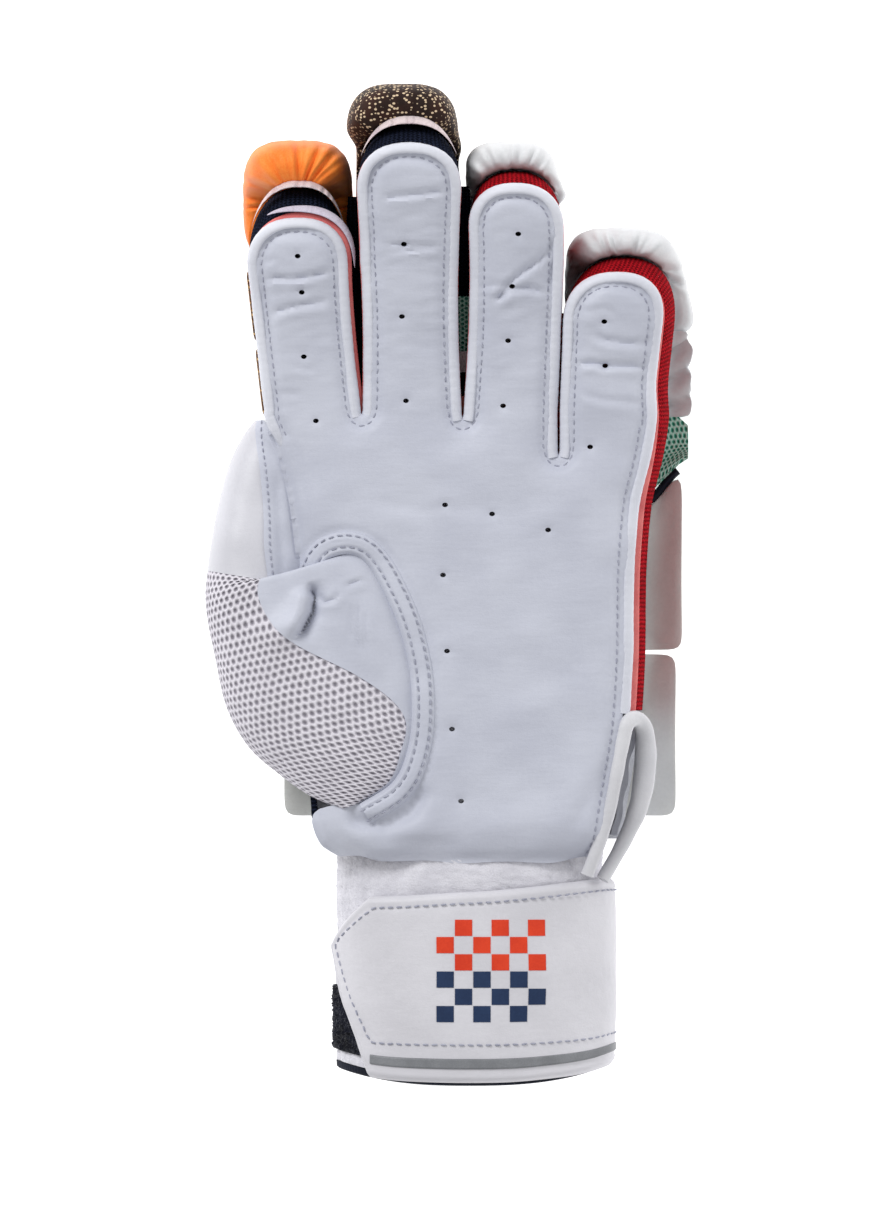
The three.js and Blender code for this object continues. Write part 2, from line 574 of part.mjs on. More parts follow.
// A pad under the back panel, drawn as sections across the hand: flat against the panel, crowned below.
// Stations along the pad: how full it is there, as a share of its thickness.
const PAD_STATIONS = [
  { at: 0, fill: 0.35 }, { at: 0.035, fill: 0.8 }, { at: 0.13, fill: 1 }, { at: 0.37, fill: 1 },
  { at: 0.63, fill: 1 }, { at: 0.87, fill: 1 }, { at: 0.965, fill: 0.8 }, { at: 1, fill: 0.35 },
];
// Corners of a section: share of its length, and share of its thickness downwards.
const PAD_SECTION = [
  { along: 0.03, down: 0 }, { along: 0.5, down: 0 }, { along: 0.97, down: 0 }, { along: 1, down: 0.3 },
  { along: 0.985, down: 0.7 }, { along: 0.9, down: 0.96 }, { along: 0.5, down: 1 }, { along: 0.1, down: 0.96 },
  { along: 0.015, down: 0.7 }, { along: 0, down: 0.3 },
];
const underBack = (x, y) => backTop(x, y) - FABRIC - 1.6 * CLEARANCE;
function underPad(x0, x1, y0, y1, thickness, wrap = () => 0) {
  return loft(
    PAD_STATIONS.map(({ at, fill }) =>
      PAD_SECTION.map(({ along, down }) => {
        const inset = 2.6 * (1 - fill);
        const [x, y] = [lerp(x0, x1, at), lerp(y0 + inset, y1 - inset, along)];
        const z = underBack(x, y) + wrap(x, y) - (down * fill + (down ? 0.12 * (1 - fill) : 0)) * thickness;
        return new THREE.Vector3(x, y, Math.max(0, z));
      }),
    ),
  );
}

// Rolls: each finger's pads from tip to root, with the y shares of FINGER_LENGTH where they meet
const ROLLS = [
  { tip: 0.55, root: 0.26, colors: [ORANGE, BROWN, BROWN] },
  { tip: 0.7, root: 0.34, colors: [BROWN, BROWN, BROWN] },
  { tip: 0.57, root: 0.27, colors: [WHITE, WHITE, GREEN] },
  { tip: 0.29, root: null, colors: [WHITE, WHITE] },
];
const ROLL_FOOT = -0.02; // where the lowest rolls start, below the roots
ROLLS.forEach((row, f) => {
  const name = FINGERS[f].name;
  const at = (share) => PALM_LENGTH + share * FINGER_LENGTH;
  const edges = (y) => fingerSpan(f, y, 0.4);
  add(`roll_${name}_tip`, tipRoll(f, at(row.tip) + ROLL_GAP / 2), row.colors[0], 0.6);
  const joints = row.root === null ? [row.tip, ROLL_FOOT] : [row.tip, row.root, ROLL_FOOT];
  const labels = row.root === null ? ["base"] : ["middle", "base"];
  labels.forEach((label, i) => {
    const [high, low] = [at(joints[i]) - ROLL_GAP / 2, at(joints[i + 1]) + ROLL_GAP / 2];
    const [left, right] = edges((high + low) / 2);
    const [crotchLeft, crotchRight] = [left + gapShift(f, 0), right + gapShift(f, 1)];
    add(`roll_${name}_${label}`, underPad(crotchLeft, crotchRight, low, high, ROLL_THICKNESS), row.colors[i + 1], 0.6);
  });
});
// The index and little finger's lower rolls show past the leather on the hand's outer sides.
function gapShift(f, right) {
  if (f === 0 && !right) return -0.14 * ROLL_THICKNESS;
  if (f === 3 && right) return 0.54 * ROLL_THICKNESS;
  return right ? -0.6 : 0.6;
}

// Back of the hand: a netted pad over the knuckles, its trim, and two rows of blocks
const blockLeft = -0.86 * HALF_HAND;
const blockRight = HALF_HAND + BLOCK_OVERHANG;
const knuckleTop = PALM_LENGTH + ROLL_FOOT * FINGER_LENGTH;
const knuckleFoot = knuckleTop - KNUCKLE_LENGTH;
// Past the palm's edge, little finger side, the pads stand a little higher.
const sideWrap = (x, y) => 4 * smooth((x - palmSide("right", y) - SIDE_FLARE - 2) / 9);
add("knuckle_pad", underPad(blockLeft, blockRight - 1, knuckleFoot + 1.6, knuckleTop, 0.8 * BLOCK_THICKNESS, sideWrap), GREEN, 0.8);
const trimPath = span(blockRight - 3, blockLeft + 3, 10).map((x) => new THREE.Vector2(x, knuckleFoot + 0.2));
add(
  "knuckle_trim",
  strip(trimPath, (p) => {
    const z = underBack(p.x, p.y) + sideWrap(p.x, p.y);
    return [[-1, z - 0.3], [1, z - 0.3], [1, z - 0.55 * BLOCK_THICKNESS], [-1, z - 0.55 * BLOCK_THICKNESS]];
  }),
  NAVY,
  0.8,
);
// Rows of blocks: shares of PALM_LENGTH, and the share of half the HAND_WIDTH where the row starts.
const BLOCK_ROWS = [
  { name: "upper", high: knuckleFoot - 1.4, low: 0.472 * PALM_LENGTH, left: blockLeft, right: blockRight },
  { name: "lower", high: 0.462 * PALM_LENGTH, low: 0.1 * PALM_LENGTH, left: -0.91 * HALF_HAND, right: blockRight - 1.8 },
];
const BLOCK_COLUMNS = ["thumb_side", "middle", "little_side"];
for (const row of BLOCK_ROWS)
  BLOCK_COLUMNS.forEach((column, i) => {
    const width = (row.right - row.left) / BLOCK_COLUMNS.length;
    const x0 = row.left + i * width + ROLL_GAP / 2;
    add(
      `block_${row.name}_${column}`,
      underPad(x0, x0 + width - ROLL_GAP, row.low, row.high, BLOCK_THICKNESS, sideWrap),
      WHITE,
      0.55,
    );
  });

// Thumb: palm leather, netted side, white side panel, fabric back, two pads and the oval welt
// Half the gap along the seam between leather and netting, as a share of the rib there.
function seamHalf(k) {
  const { inner, outer } = ribEnds(k);
  return (1.3 * CLEARANCE) / inner.distanceTo(outer);
}
add(
  "thumb_leather",
  thumbSheet(thumbFront, span(0, LAST_RIB, 20), (k) => span(0, rib("seam", k) - seamHalf(k), 4), LEATHER),
  LEATHER_GREY,
  0.55,
);
const outerPart = (k) => span(rib("seam", k) + seamHalf(k), 1, 6);
add("thumb_netting", thumbSheet(thumbFront, span(0, CROTCH_RIB - 0.03, 14), outerPart, LEATHER), MESH_GREY, 0.9);
add("thumb_side_panel", thumbSheet(thumbFront, span(CROTCH_RIB + 0.03, LAST_RIB, 8), outerPart, LEATHER), WHITE, 0.5);
add("thumb_back", thumbSheet(thumbBack, span(BACK_RIB, LAST_RIB, 16), () => span(0, 1, 6), LEATHER), WHITE, 0.7);

// A pad on the outside of the thumb's back, between two ribs.
function thumbPad(from, to) {
  const rings = steps(8).map((t) => {
    const k = lerp(from, to, t);
    const fill = (1 - Math.abs(2 * t - 1) ** 3.5) ** (1 / 3.5) + 0.08;
    const top = span(0.22, 0.8, 4).map((b) => thumbBack(k, b).add(new THREE.Vector3(0, 0, -CLEARANCE * 7)));
    const bottom = span(0.8, 0.22, 4).map((b, i) => {
      const p = thumbBack(k, b);
      const depth = [0.3, 0.85, 1, 0.85, 0.3][i] * THUMB_PAD_THICKNESS * fill;
      return p.add(new THREE.Vector3(0, 0, -CLEARANCE * 7 - depth));
    });
    return [...top, ...bottom];
  });
  return loft(rings);
}
add("thumb_pad_tip", thumbPad(9.6, 12.6), WHITE, 0.6);
add("thumb_pad_base", thumbPad(4.2, 9.4), WHITE, 0.6);

const weltPath = ovalSeam(WELT_WIDTH / 2 + 3 * CLEARANCE, 20, CROTCH_RIB - 1);
add(
  "thumb_welt",
  strip(weltPath, (p) => {
    const z = palmTop(p.x, p.y) + CLEARANCE;
    return [
      [-WELT_WIDTH / 2, z + 0.2],
      [0, z + 1.1],
      [WELT_WIDTH / 2, z + 0.9],
      [WELT_WIDTH / 2, z],
      [-WELT_WIDTH / 2, z],
    ];
  }),
  LEATHER_GREY,
  0.55,
);

// Cuff: a towelling tube of rounded section, drawn round from the middle of the palm side
const CUFF_X = 3.4;
const CUFF_ROUND = 2.5;
const CUFF_TOP = CUFF_TUCK;
const CUFF_FOOT = CUFF_TOP - CUFF_LENGTH;
// A point round the cuff: turn 0 on the palm side, 0.25 little finger side, 0.5 back, 0.75 thumb side.
function cuffPoint(turn, y, out) {
  const angle = Math.PI / 2 - turn * 2 * Math.PI;
  const power = 2 / CUFF_ROUND;
  const [c, s] = [Math.cos(angle), Math.sin(angle)];
  const [a, b] = [CUFF_WIDTH / 2 + out, CUFF_DEPTH / 2 + out];
  const x = CUFF_X + a * Math.sign(c) * Math.abs(c) ** power;
  const z = CUFF_CENTRE_HEIGHT + b * Math.sign(s) * Math.abs(s) ** power;
  return new THREE.Vector3(x, y, z);
}
const aroundCuff = (section) =>
  loft(Array.from({ length: 28 }, (_, i) => i / 28).map((turn) => section.map(([y, out]) => cuffPoint(turn, y, out))), true);
const HEM = 2.4;
add(
  "cuff",
  aroundCuff([[CUFF_TOP, 0], [CUFF_FOOT + HEM, 0], [CUFF_FOOT + HEM, -CUFF_WALL], [CUFF_TOP, -CUFF_WALL]]),
  TERRY,
  0.95,
);
add(
  "cuff_hem",
  aroundCuff([
    [CUFF_FOOT + HEM - CLEARANCE, 0.3],
    [CUFF_FOOT, -0.3],
    [CUFF_FOOT, -CUFF_WALL + 0.6],
    [CUFF_FOOT + HEM - CLEARANCE, -CUFF_WALL],
  ]),
  NAVY,
  0.85,
);

// A band that lies on the cuff: stations round it, each with its upper and lower edge.
function cuffBand(stations, out, thickness) {
  return loft(
    stations.map(({ turn, high, low }) => [
      cuffPoint(turn, high, out),
      cuffPoint(turn, low, out),
      cuffPoint(turn, low, out + thickness),
      cuffPoint(turn, high, out + thickness),
    ]),
  );
}
const LOOP_THICKNESS = 0.8;
const loopEdges = { high: CUFF_FOOT + 0.54 * STRAP_WIDTH, low: CUFF_FOOT + 0.11 * STRAP_WIDTH };
const loopStations = span(0.5, 0.885, 12).map((turn) => ({ turn, ...loopEdges }));
add("loop_patch", cuffBand(loopStations, CLEARANCE, LOOP_THICKNESS), NAVY, 0.95);
const STRAP_OUT = LOOP_THICKNESS + 2 * CLEARANCE;
const STRAP_TIP = -0.2; // turn of the strap's pointed end, thumb side
const STRAP_SHOULDER = -0.112; // turn where the point has widened to the full strap
const STRAP_END = 0.52;
const strapHigh = (turn) => lerp(CUFF_FOOT + STRAP_WIDTH + 1, CUFF_FOOT + STRAP_WIDTH + 6, smooth((turn + 0.1) / 0.3));
const strapLow = (turn) => CUFF_FOOT + 0.8 + 5 * smooth((Math.abs(turn - 0.01) - 0.02) / 0.12);
const strapStations = [...span(STRAP_TIP, STRAP_SHOULDER, 4), ...span(STRAP_SHOULDER, STRAP_END, 22).slice(1)].map((turn) => {
  const open = clamp((turn - STRAP_TIP) / (STRAP_SHOULDER - STRAP_TIP));
  const point = CUFF_FOOT + 0.76 * STRAP_WIDTH;
  return { turn, high: lerp(point + 0.6, strapHigh(turn), open), low: lerp(point - 0.6, strapLow(turn), open) };
});
add("strap", cuffBand(strapStations, STRAP_OUT, STRAP_THICKNESS), WHITE, 0.5);
const stripeStations = span(STRAP_SHOULDER + 0.012, 0.24, 12).map((turn) => {
  const low = strapLow(turn) + 4;
  return { turn, high: low + STRIPE_WIDTH, low };
});
add("strap_stripe", cuffBand(stripeStations, STRAP_OUT + STRAP_THICKNESS + CLEARANCE, 0.4), SILVER, 0.3);

// Side of the heel, little finger side: a leather wall below the slit, and the white binding round the slit
const SIDE_FOOT = BACK_FROM + 1;
const sideWallPath = sidePath("right", SLIT_Y - 1.5, SIDE_FOOT, 7, 2.5);
add(
  "side_wall",
  strip(sideWallPath, (p) => {
    const top = palmTop(p.x, p.y, true) - SLIT_BINDING - 4;
    const foot = backTop(p.x, p.y) + 2 * CLEARANCE;
    return [[0, top], [-2.2, foot], [-2.2 - LEATHER, foot], [-LEATHER, top]];
  }),
  WHITE,
  0.55,
);
const SLIT_LEGS = [
  { x: 0.66, y: -0.03, z: -0.8 }, { x: 0.76, y: 0.09, z: -0.8 }, { x: 0.81, y: 0.19, z: -0.6 }, { x: 0.845, y: 0.27, z: -0.6 },
  { x: 0.87, y: 0.31, z: -0.7 }, { x: 0.915, y: 0.318, z: -1.6 }, { x: 0.955, y: 0.29, z: -2.6 }, { x: 0.96, y: 0.22, z: -3 },
  { x: 0.93, y: 0.13, z: -3 }, { x: 0.85, y: 0.045, z: -2.7 }, { x: 0.74, y: -0.04, z: -1.9 },
].map((leg) => new THREE.Vector3(leg.x * HALF_HAND, leg.y * PALM_LENGTH, levelAt(leg.y * PALM_LENGTH) + leg.z * SLIT_BINDING));
const slitLine = new THREE.CatmullRomCurve3(SLIT_LEGS);
const slitSection = new THREE.Shape().absarc(0, 0, SLIT_BINDING / 2, 0, 2 * Math.PI);
add(
  "slit_binding",
  new THREE.ExtrudeGeometry(slitSection, { steps: 26, extrudePath: slitLine, curveSegments: 3, bevelEnabled: false }),
  WHITE,
  0.5,
);

// The group stands with the middle of its footprint at the origin and its lowest point on the floor.
const bounds = new THREE.Box3().setFromObject(glove, true);
const middle = bounds.getCenter(new THREE.Vector3());
glove.position.set(-middle.x, -middle.y, -bounds.min.z);

export default glove;
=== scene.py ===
import math

import bmesh
import bpy
import numpy as np
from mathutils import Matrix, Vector, geometry


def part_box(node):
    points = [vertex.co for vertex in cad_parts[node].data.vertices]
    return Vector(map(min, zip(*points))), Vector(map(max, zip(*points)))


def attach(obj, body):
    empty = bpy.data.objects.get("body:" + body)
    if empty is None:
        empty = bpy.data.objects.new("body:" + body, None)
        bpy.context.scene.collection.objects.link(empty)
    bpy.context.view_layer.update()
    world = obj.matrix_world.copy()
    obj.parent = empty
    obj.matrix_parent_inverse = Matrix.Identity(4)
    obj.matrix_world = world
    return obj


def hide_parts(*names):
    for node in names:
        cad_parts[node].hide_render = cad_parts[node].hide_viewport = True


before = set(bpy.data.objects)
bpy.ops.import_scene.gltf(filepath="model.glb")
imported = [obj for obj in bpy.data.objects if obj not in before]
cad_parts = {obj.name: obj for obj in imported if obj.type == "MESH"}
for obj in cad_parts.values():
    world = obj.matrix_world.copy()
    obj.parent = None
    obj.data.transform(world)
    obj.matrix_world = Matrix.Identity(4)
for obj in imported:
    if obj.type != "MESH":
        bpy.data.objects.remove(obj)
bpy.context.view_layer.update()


def table(names, *rows):
    """Rows with named columns."""
    return [dict(zip(names.split(), row)) for row in rows]


def columns(names, *rows):
    """Columns by name, given as rows."""
    return dict(zip(names.split(), zip(*rows)))



# Hand
HAND_WIDTH = 113.0
PALM_LENGTH = 130.0
FINGER_LENGTH = 78.0
TIP_SPREAD = 10.0
FINGER_GAP = 3.2
PALM_HEIGHT = 56.0
BACK_HEIGHT = 21.0
CURL_RISE = 22.0
EDGE_DROP = 5.0
EDGE_ROUND = 13.0
BACK_ARCH = 4.0

# Walls and edges
LEATHER = 1.8
FABRIC = 1.6
BINDING_WIDTH = 3.0
BINDING_HEIGHT = 2.8
CLEARANCE = 0.35
TIP_FLARE = 6.0
SIDE_FLARE = 4.0
TIP_ROUND = 2.35

# Pads
ROLL_THICKNESS = 18.0
ROLL_GAP = 1.2
ROLL_FOOT = -0.02
BLOCK_THICKNESS = 20.5
BLOCK_OVERHANG = 9.3
KNUCKLE_LENGTH = 24.0
VENT_DIAMETER = 1.7

# Thumb
THUMB_CREST = 7.0
THUMB_DEPTH = 26.0
THUMB_PAD_THICKNESS = 12.0
WELT_WIDTH = 6.2
CROTCH_RIB = 8.0
LAST_RIB = 13.0
BACK_RIB = 2.2

# Wrist
CUFF_X = 3.4
CUFF_ROUND = 2.5
CUFF_WIDTH = 77.0
CUFF_DEPTH = 42.0
CUFF_LENGTH = 71.0
CUFF_WALL = 3.0
CUFF_CENTRE_HEIGHT = 31.0
CUFF_TUCK = 6.0
HEM = 2.4
STRAP_WIDTH = 54.0
STRAP_THICKNESS = 2.4
STRIPE_WIDTH = 3.0
LOOP_THICKNESS = 0.8
SLIT_BINDING = 3.6
SLIT_Y = 0.345 * PALM_LENGTH

# Thread
STITCH_INSET = 4.1
STITCH_SPACING = 2.6
STITCH_LENGTH = 1.7
STITCH_WIDTH = 0.5

PATH_STEP = 0.9
HALF_HAND = HAND_WIDTH / 2
CUFF_TOP = CUFF_TUCK
CUFF_FOOT = CUFF_TOP - CUFF_LENGTH
MM = 0.001
hem_low, hem_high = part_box("cuff_hem")
SHIFT = np.array([(hem_low.x + hem_high.x) / 2 / MM - CUFF_X, hem_low.y / MM - CUFF_FOOT, 0.0])

# The photograph: one of its pixels at the palm's height, and where the frame's origin lies in it
PIXEL = 0.29
IMAGE_SIZE = (876, 1216)
ORIGIN_PIXEL = (448.0, 585.0)

# Fingers: root is the share of the hand's width, reach the share of the longest finger's length.
# The tip roll, as shares of a roll's thickness: lean, overhang past the tip, girth and splay.
FINGERS = table(
    "name root reach lean overhang girth splay",
    ("index", 0.252, 0.724, -0.024, 1.26, 0.083, 0),
    ("middle", 0.259, 1, -0.116, 0.97, 0.089, 0),
    ("ring", 0.246, 0.851, -0.105, 0.7, 0.03, 0),
    ("little", 0.243, 0.523, 0.13, 0.74, 0.09, 0.4),
)
LINES = table(
    "spread notch open",
    (-0.505, 0.02, 0),
    (-0.218, -0.008, 1),
    (0.04, 0, 0.9),
    (0.168, 0.082, 0),
    (0.5, 0.02, 0),
)
# The palm's two sides, from the heel up: shares of PALM_LENGTH and of half the HAND_WIDTH
PALM_SIDES = columns(
    "up left right",
    (0, -0.58, 0.7),
    (0.035, -0.7, 0.765),
    (0.08, -0.748, 0.79),
    (0.16, -0.77, 0.82),
    (0.3, -0.795, 0.872),
    (0.45, -0.81, 0.895),
    (0.65, -0.815, 0.902),
    (0.8, -0.853, 0.93),
    (0.91, -0.915, 0.99),
    (1, -1, 1.02),
)
# Thumb ribs, from the oval seam or the valley to the thumb's outer edge: shares as above;
# crest is the share of THUMB_CREST and seam where the leather ends
RIBS = columns(
    "k inX inY outX outY crest seam",
    (0, -0.51, 0.13, -0.6, 0.118, 0.2, 0.04),
    (1, -0.34, 0.178, -0.761, 0.147, 0.45, 0.03),
    (2, -0.269, 0.243, -0.926, 0.196, 0.75, 0.03),
    (3, -0.242, 0.325, -1.08, 0.256, 0.95, 0.03),
    (4, -0.258, 0.437, -1.193, 0.345, 1, 0.22),
    (5, -0.34, 0.56, -1.253, 0.459, 1, 0.47),
    (6, -0.494, 0.672, -1.29, 0.538, 0.9, 0.52),
    (7, -0.655, 0.675, -1.301, 0.593, 0.8, 0.44),
    (8, -0.75, 0.61, -1.29, 0.649, 0.6, 0.33),
    (9, -0.822, 0.69, -1.269, 0.716, 0.25, 0.3),
    (10, -0.85, 0.775, -1.234, 0.798, -0.2, 0.3),
    (11, -0.904, 0.883, -1.177, 0.888, -0.8, 0.32),
    (12, -0.958, 0.95, -1.104, 0.952, -1.4, 0.4),
    (13, -0.995, 0.985, -1.045, 0.985, -1.7, 0.5),
)


def lerp(a, b, t):
    return a + (b - a) * t


def clamp(t):
    return np.clip(t, 0.0, 1.0)


def smooth(t):
    t = clamp(t)
    return t * t * (3 - 2 * t)


def bell(distance, width):
    return np.exp(-((distance / width) ** 2))


def photo(px, py):
    """A pixel of the photograph as a point of the hand's frame."""
    x = (px - ORIGIN_PIXEL[0]) * PIXEL - SHIFT[0]
    y = (ORIGIN_PIXEL[1] - py) * PIXEL - SHIFT[1]
    return np.array([x, y])


def curve(before, p, q, after, t):
    """A smooth curve from p to q that heads on from the point before and towards the one after."""
    slopes = (q - before) / 2 * (t - 2 * t**2 + t**3) + (after - p) / 2 * (t**3 - t**2)
    return lerp(p, q, t * t * (3 - 2 * t)) + slopes


def through(rows, key, value, at):
    """A smooth value through a table's rows."""
    keys, values = np.array(rows[key], float), np.array(rows[value], float)
    at = np.asarray(at, float)
    i = np.clip(np.searchsorted(keys, at) - 1, 0, len(keys) - 2)
    t = clamp((at - keys[i]) / (keys[i + 1] - keys[i]))
    before, after = values[np.maximum(i - 1, 0)], values[np.minimum(i + 2, len(keys) - 1)]
    return curve(before, values[i], values[i + 1], after, t)


def waves(x, y, size, seed, stretch=1.0, count=22):
    """Smooth seeded unevenness of about -1 to 1, with swells of a size, stretched along x."""
    random = np.random.default_rng(seed)
    total = np.zeros(np.broadcast(x, y).shape)
    for _ in range(count):
        angle, phase = random.uniform(0, math.pi), random.uniform(0, 2 * math.pi)
        pitch = size * random.uniform(0.6, 1.6)
        total += np.sin(2 * math.pi * (x * math.cos(angle) / stretch + y * math.sin(angle)) / pitch + phase)
    return total / math.sqrt(count)


# Outlines in the plan

line_roots = -HALF_HAND + HAND_WIDTH * np.concatenate([[0], np.cumsum([f["root"] for f in FINGERS])])
SPREAD_AT = 0.56 * FINGER_LENGTH
MEET_AT = 0.94 * FINGER_LENGTH


def line_at(k, y):
    return line_roots[k] + LINES[k]["spread"] * TIP_SPREAD * clamp((y - PALM_LENGTH) / SPREAD_AT)


def crotch_y(k):
    return PALM_LENGTH * (1 - LINES[k]["notch"])


def gap_at(k, y):
    up = clamp((y - crotch_y(k)) / (PALM_LENGTH + MEET_AT - crotch_y(k)))
    return 2 * CLEARANCE + LINES[k]["open"] * FINGER_GAP * np.sin(np.pi * up)


def palm_side(side, y):
    return through(PALM_SIDES, "up", side, np.asarray(y, float) / PALM_LENGTH) * HALF_HAND


def tip_y(f):
    return PALM_LENGTH + FINGERS[f]["reach"] * FINGER_LENGTH


def finger_span(f, y, grow=0.0, flare=0.0):
    """Left and right edge of a finger at height y."""
    y = np.asarray(y, float)
    left = line_at(f, y) + gap_at(f, y) / 2
    right = line_at(f + 1, y) - gap_at(f + 1, y) / 2
    if f == 0:
        left = np.where(y < PALM_LENGTH, palm_side("left", y), left)
    if f == 3:
        right = lerp(palm_side("right", y), right, smooth((y - PALM_LENGTH + 2) / 16))
        right = right + (SIDE_FLARE if flare > 0 else 0)
    middle, half = (left + right) / 2, (right - left) / 2 + grow
    top, rounding = tip_y(f) + grow + flare, half + flare
    t = clamp((y - (top - rounding)) / rounding)
    width = half * (1 - t**TIP_ROUND) ** (1 / TIP_ROUND)
    return middle - width, middle + width


def run_of(path):
    """How far along a path each of its points lies."""
    return np.concatenate([[0], np.cumsum(np.linalg.norm(np.diff(path, axis=0), axis=1))])


def length_of(path):
    return np.linalg.norm(np.diff(path, axis=0), axis=1).sum()


def turns_of(count):
    """Even turns round a full circle."""
    return np.linspace(0, 2 * math.pi, count + 1)[:-1]


def unit(vectors):
    return vectors / np.linalg.norm(vectors, axis=-1, keepdims=True)


def resample(path, spacing=None, count=None):
    """A path's points at even steps along it."""
    path = np.asarray(path, float)
    run = run_of(path)
    count = count or max(3, int(round(run[-1] / spacing)) + 1)
    at = np.linspace(0, run[-1], count)
    return np.stack([np.interp(at, run, path[:, i]) for i in range(path.shape[1])], axis=1)


def finger_path(f, grow=0.0, flare=0.0, start=None, end=None, count=160):
    """One finger's outline from its left crotch round the tip to its right crotch."""
    top = tip_y(f) + grow + flare - 1e-4
    ease = 1 - (1 - np.linspace(0, 1, count)) ** 3
    up = lerp(crotch_y(f) if start is None else start, top, ease)
    down = lerp(crotch_y(f + 1) if end is None else end, top, ease)[::-1]
    left, right = finger_span(f, up, grow, flare)[0], finger_span(f, down, grow, flare)[1]
    return np.concatenate([np.stack([left, up], 1), np.stack([right, down], 1)[1:]])


def side_path(side, start, end, count=24, grow=0.0):
    y = np.linspace(start, end, count)
    return np.stack([palm_side(side, y) + (-grow if side == "left" else grow), y], 1)


hand_parts = [side_path("left", 0, crotch_y(0)), *[finger_path(f) for f in range(4)]]
HAND_OUTLINE = resample(np.concatenate([*hand_parts, side_path("right", crotch_y(4), 0)]), spacing=1.2)


def nearest(x, y, path):
    """Distance from each point to a path, and how far along the path that is."""
    x, y = np.ravel(x), np.ravel(y)
    steps = np.linalg.norm(np.diff(path, axis=0), axis=1)
    run = np.concatenate([[0], np.cumsum(steps)])
    best, along = np.full(x.shape, 1e9), np.zeros(x.shape)
    for i in range(len(path) - 1):
        a, d = path[i], path[i + 1] - path[i]
        t = clamp(((x - a[0]) * d[0] + (y - a[1]) * d[1]) / max(steps[i] ** 2, 1e-12))
        away = np.hypot(x - a[0] - t * d[0], y - a[1] - t * d[1])
        closer = away < best
        best = np.where(closer, away, best)
        along = np.where(closer, run[i] + t * steps[i], along)
    return best, along


def inside(x, y, outline):
    """Whether each point lies inside a closed outline."""
    result = np.zeros(np.shape(x), bool)
    for a, b in zip(outline, np.roll(outline, -1, axis=0)):
        crosses = (a[1] > y) != (b[1] > y)
        height = b[1] - a[1] if abs(b[1] - a[1]) > 1e-12 else 1e-12
        result ^= crosses & (x < a[0] + (y - a[1]) / height * (b[0] - a[0]))
    return result


# Heights

CURL_FROM = PALM_LENGTH - 12
HEEL_DIP = 2.0
BACK_FALL = 5.0
FALL_FROM = 0.467 * PALM_LENGTH


def rise(y):
    return CURL_RISE * np.maximum(0, (y - CURL_FROM) / (PALM_LENGTH + FINGER_LENGTH - CURL_FROM)) ** 1.9


def level_at(y):
    return PALM_HEIGHT + rise(y) - HEEL_DIP * (1 - smooth(y / (0.14 * PALM_LENGTH)))


def edge_height(y):
    return level_at(y) - EDGE_DROP


def palm_top(x, y):
    inward = clamp(nearest(x, y, HAND_OUTLINE)[0] / EDGE_ROUND).reshape(np.shape(x))
    return level_at(y) - EDGE_DROP * (1 - inward) ** 2


def back_top(x, y):
    arch = BACK_ARCH * (x / HALF_HAND) ** 2 * (1 - 0.6 * smooth((y - PALM_LENGTH) / SPREAD_AT))
    return BACK_HEIGHT + rise(y) + arch - BACK_FALL * clamp((FALL_FROM - y) / FALL_FROM)


# Mesh making


def grid_faces(rows, columns, wrap_rows=False, wrap_columns=False):
    i = np.arange(rows if wrap_rows else rows - 1)[:, None]
    j = np.arange(columns if wrap_columns else columns - 1)[None, :]
    i2, j2 = (i + 1) % rows, (j + 1) % columns
    quads = np.stack([i * columns + j, i * columns + j2, i2 * columns + j2, i2 * columns + j], axis=-1)
    return quads.reshape(-1, 4)


def shell(outer, inner):
    """A sheet between two grids of points, closed round its edge."""
    rows, columns = outer.shape[:2]
    faces = grid_faces(rows, columns)
    under = rows * columns
    top = np.arange(columns)
    right = np.arange(1, rows) * columns + columns - 1
    bottom = (rows - 1) * columns + np.arange(columns - 2, -1, -1)
    left = np.arange(rows - 2, 0, -1) * columns
    rim = np.concatenate([top, right, bottom, left])
    following = np.roll(rim, -1)
    walls = np.stack([following, rim, rim + under, following + under], 1)
    points = np.concatenate([outer.reshape(-1, 3), inner.reshape(-1, 3)])
    return points, np.concatenate([faces, faces[:, ::-1] + under, walls])


def tube(rings, joined=False):
    """A body through rings of points, joined end to end or closed at both ends by a fan."""
    count, size = rings.shape[:2]
    faces = grid_faces(count, size, wrap_rows=joined, wrap_columns=True).tolist()
    points = rings.reshape(-1, 3)
    if joined:
        return points, faces
    points = np.concatenate([points, rings[:1].mean(axis=1), rings[-1:].mean(axis=1)])
    first, last = count * size, count * size + 1
    for j in range(size):
        k = (j + 1) % size
        faces.append([first, k, j])
        faces.append([last, (count - 1) * size + j, (count - 1) * size + k])
    return points, faces


HOLE_SIDES = 12
HOLE_SQUASH = 0.8


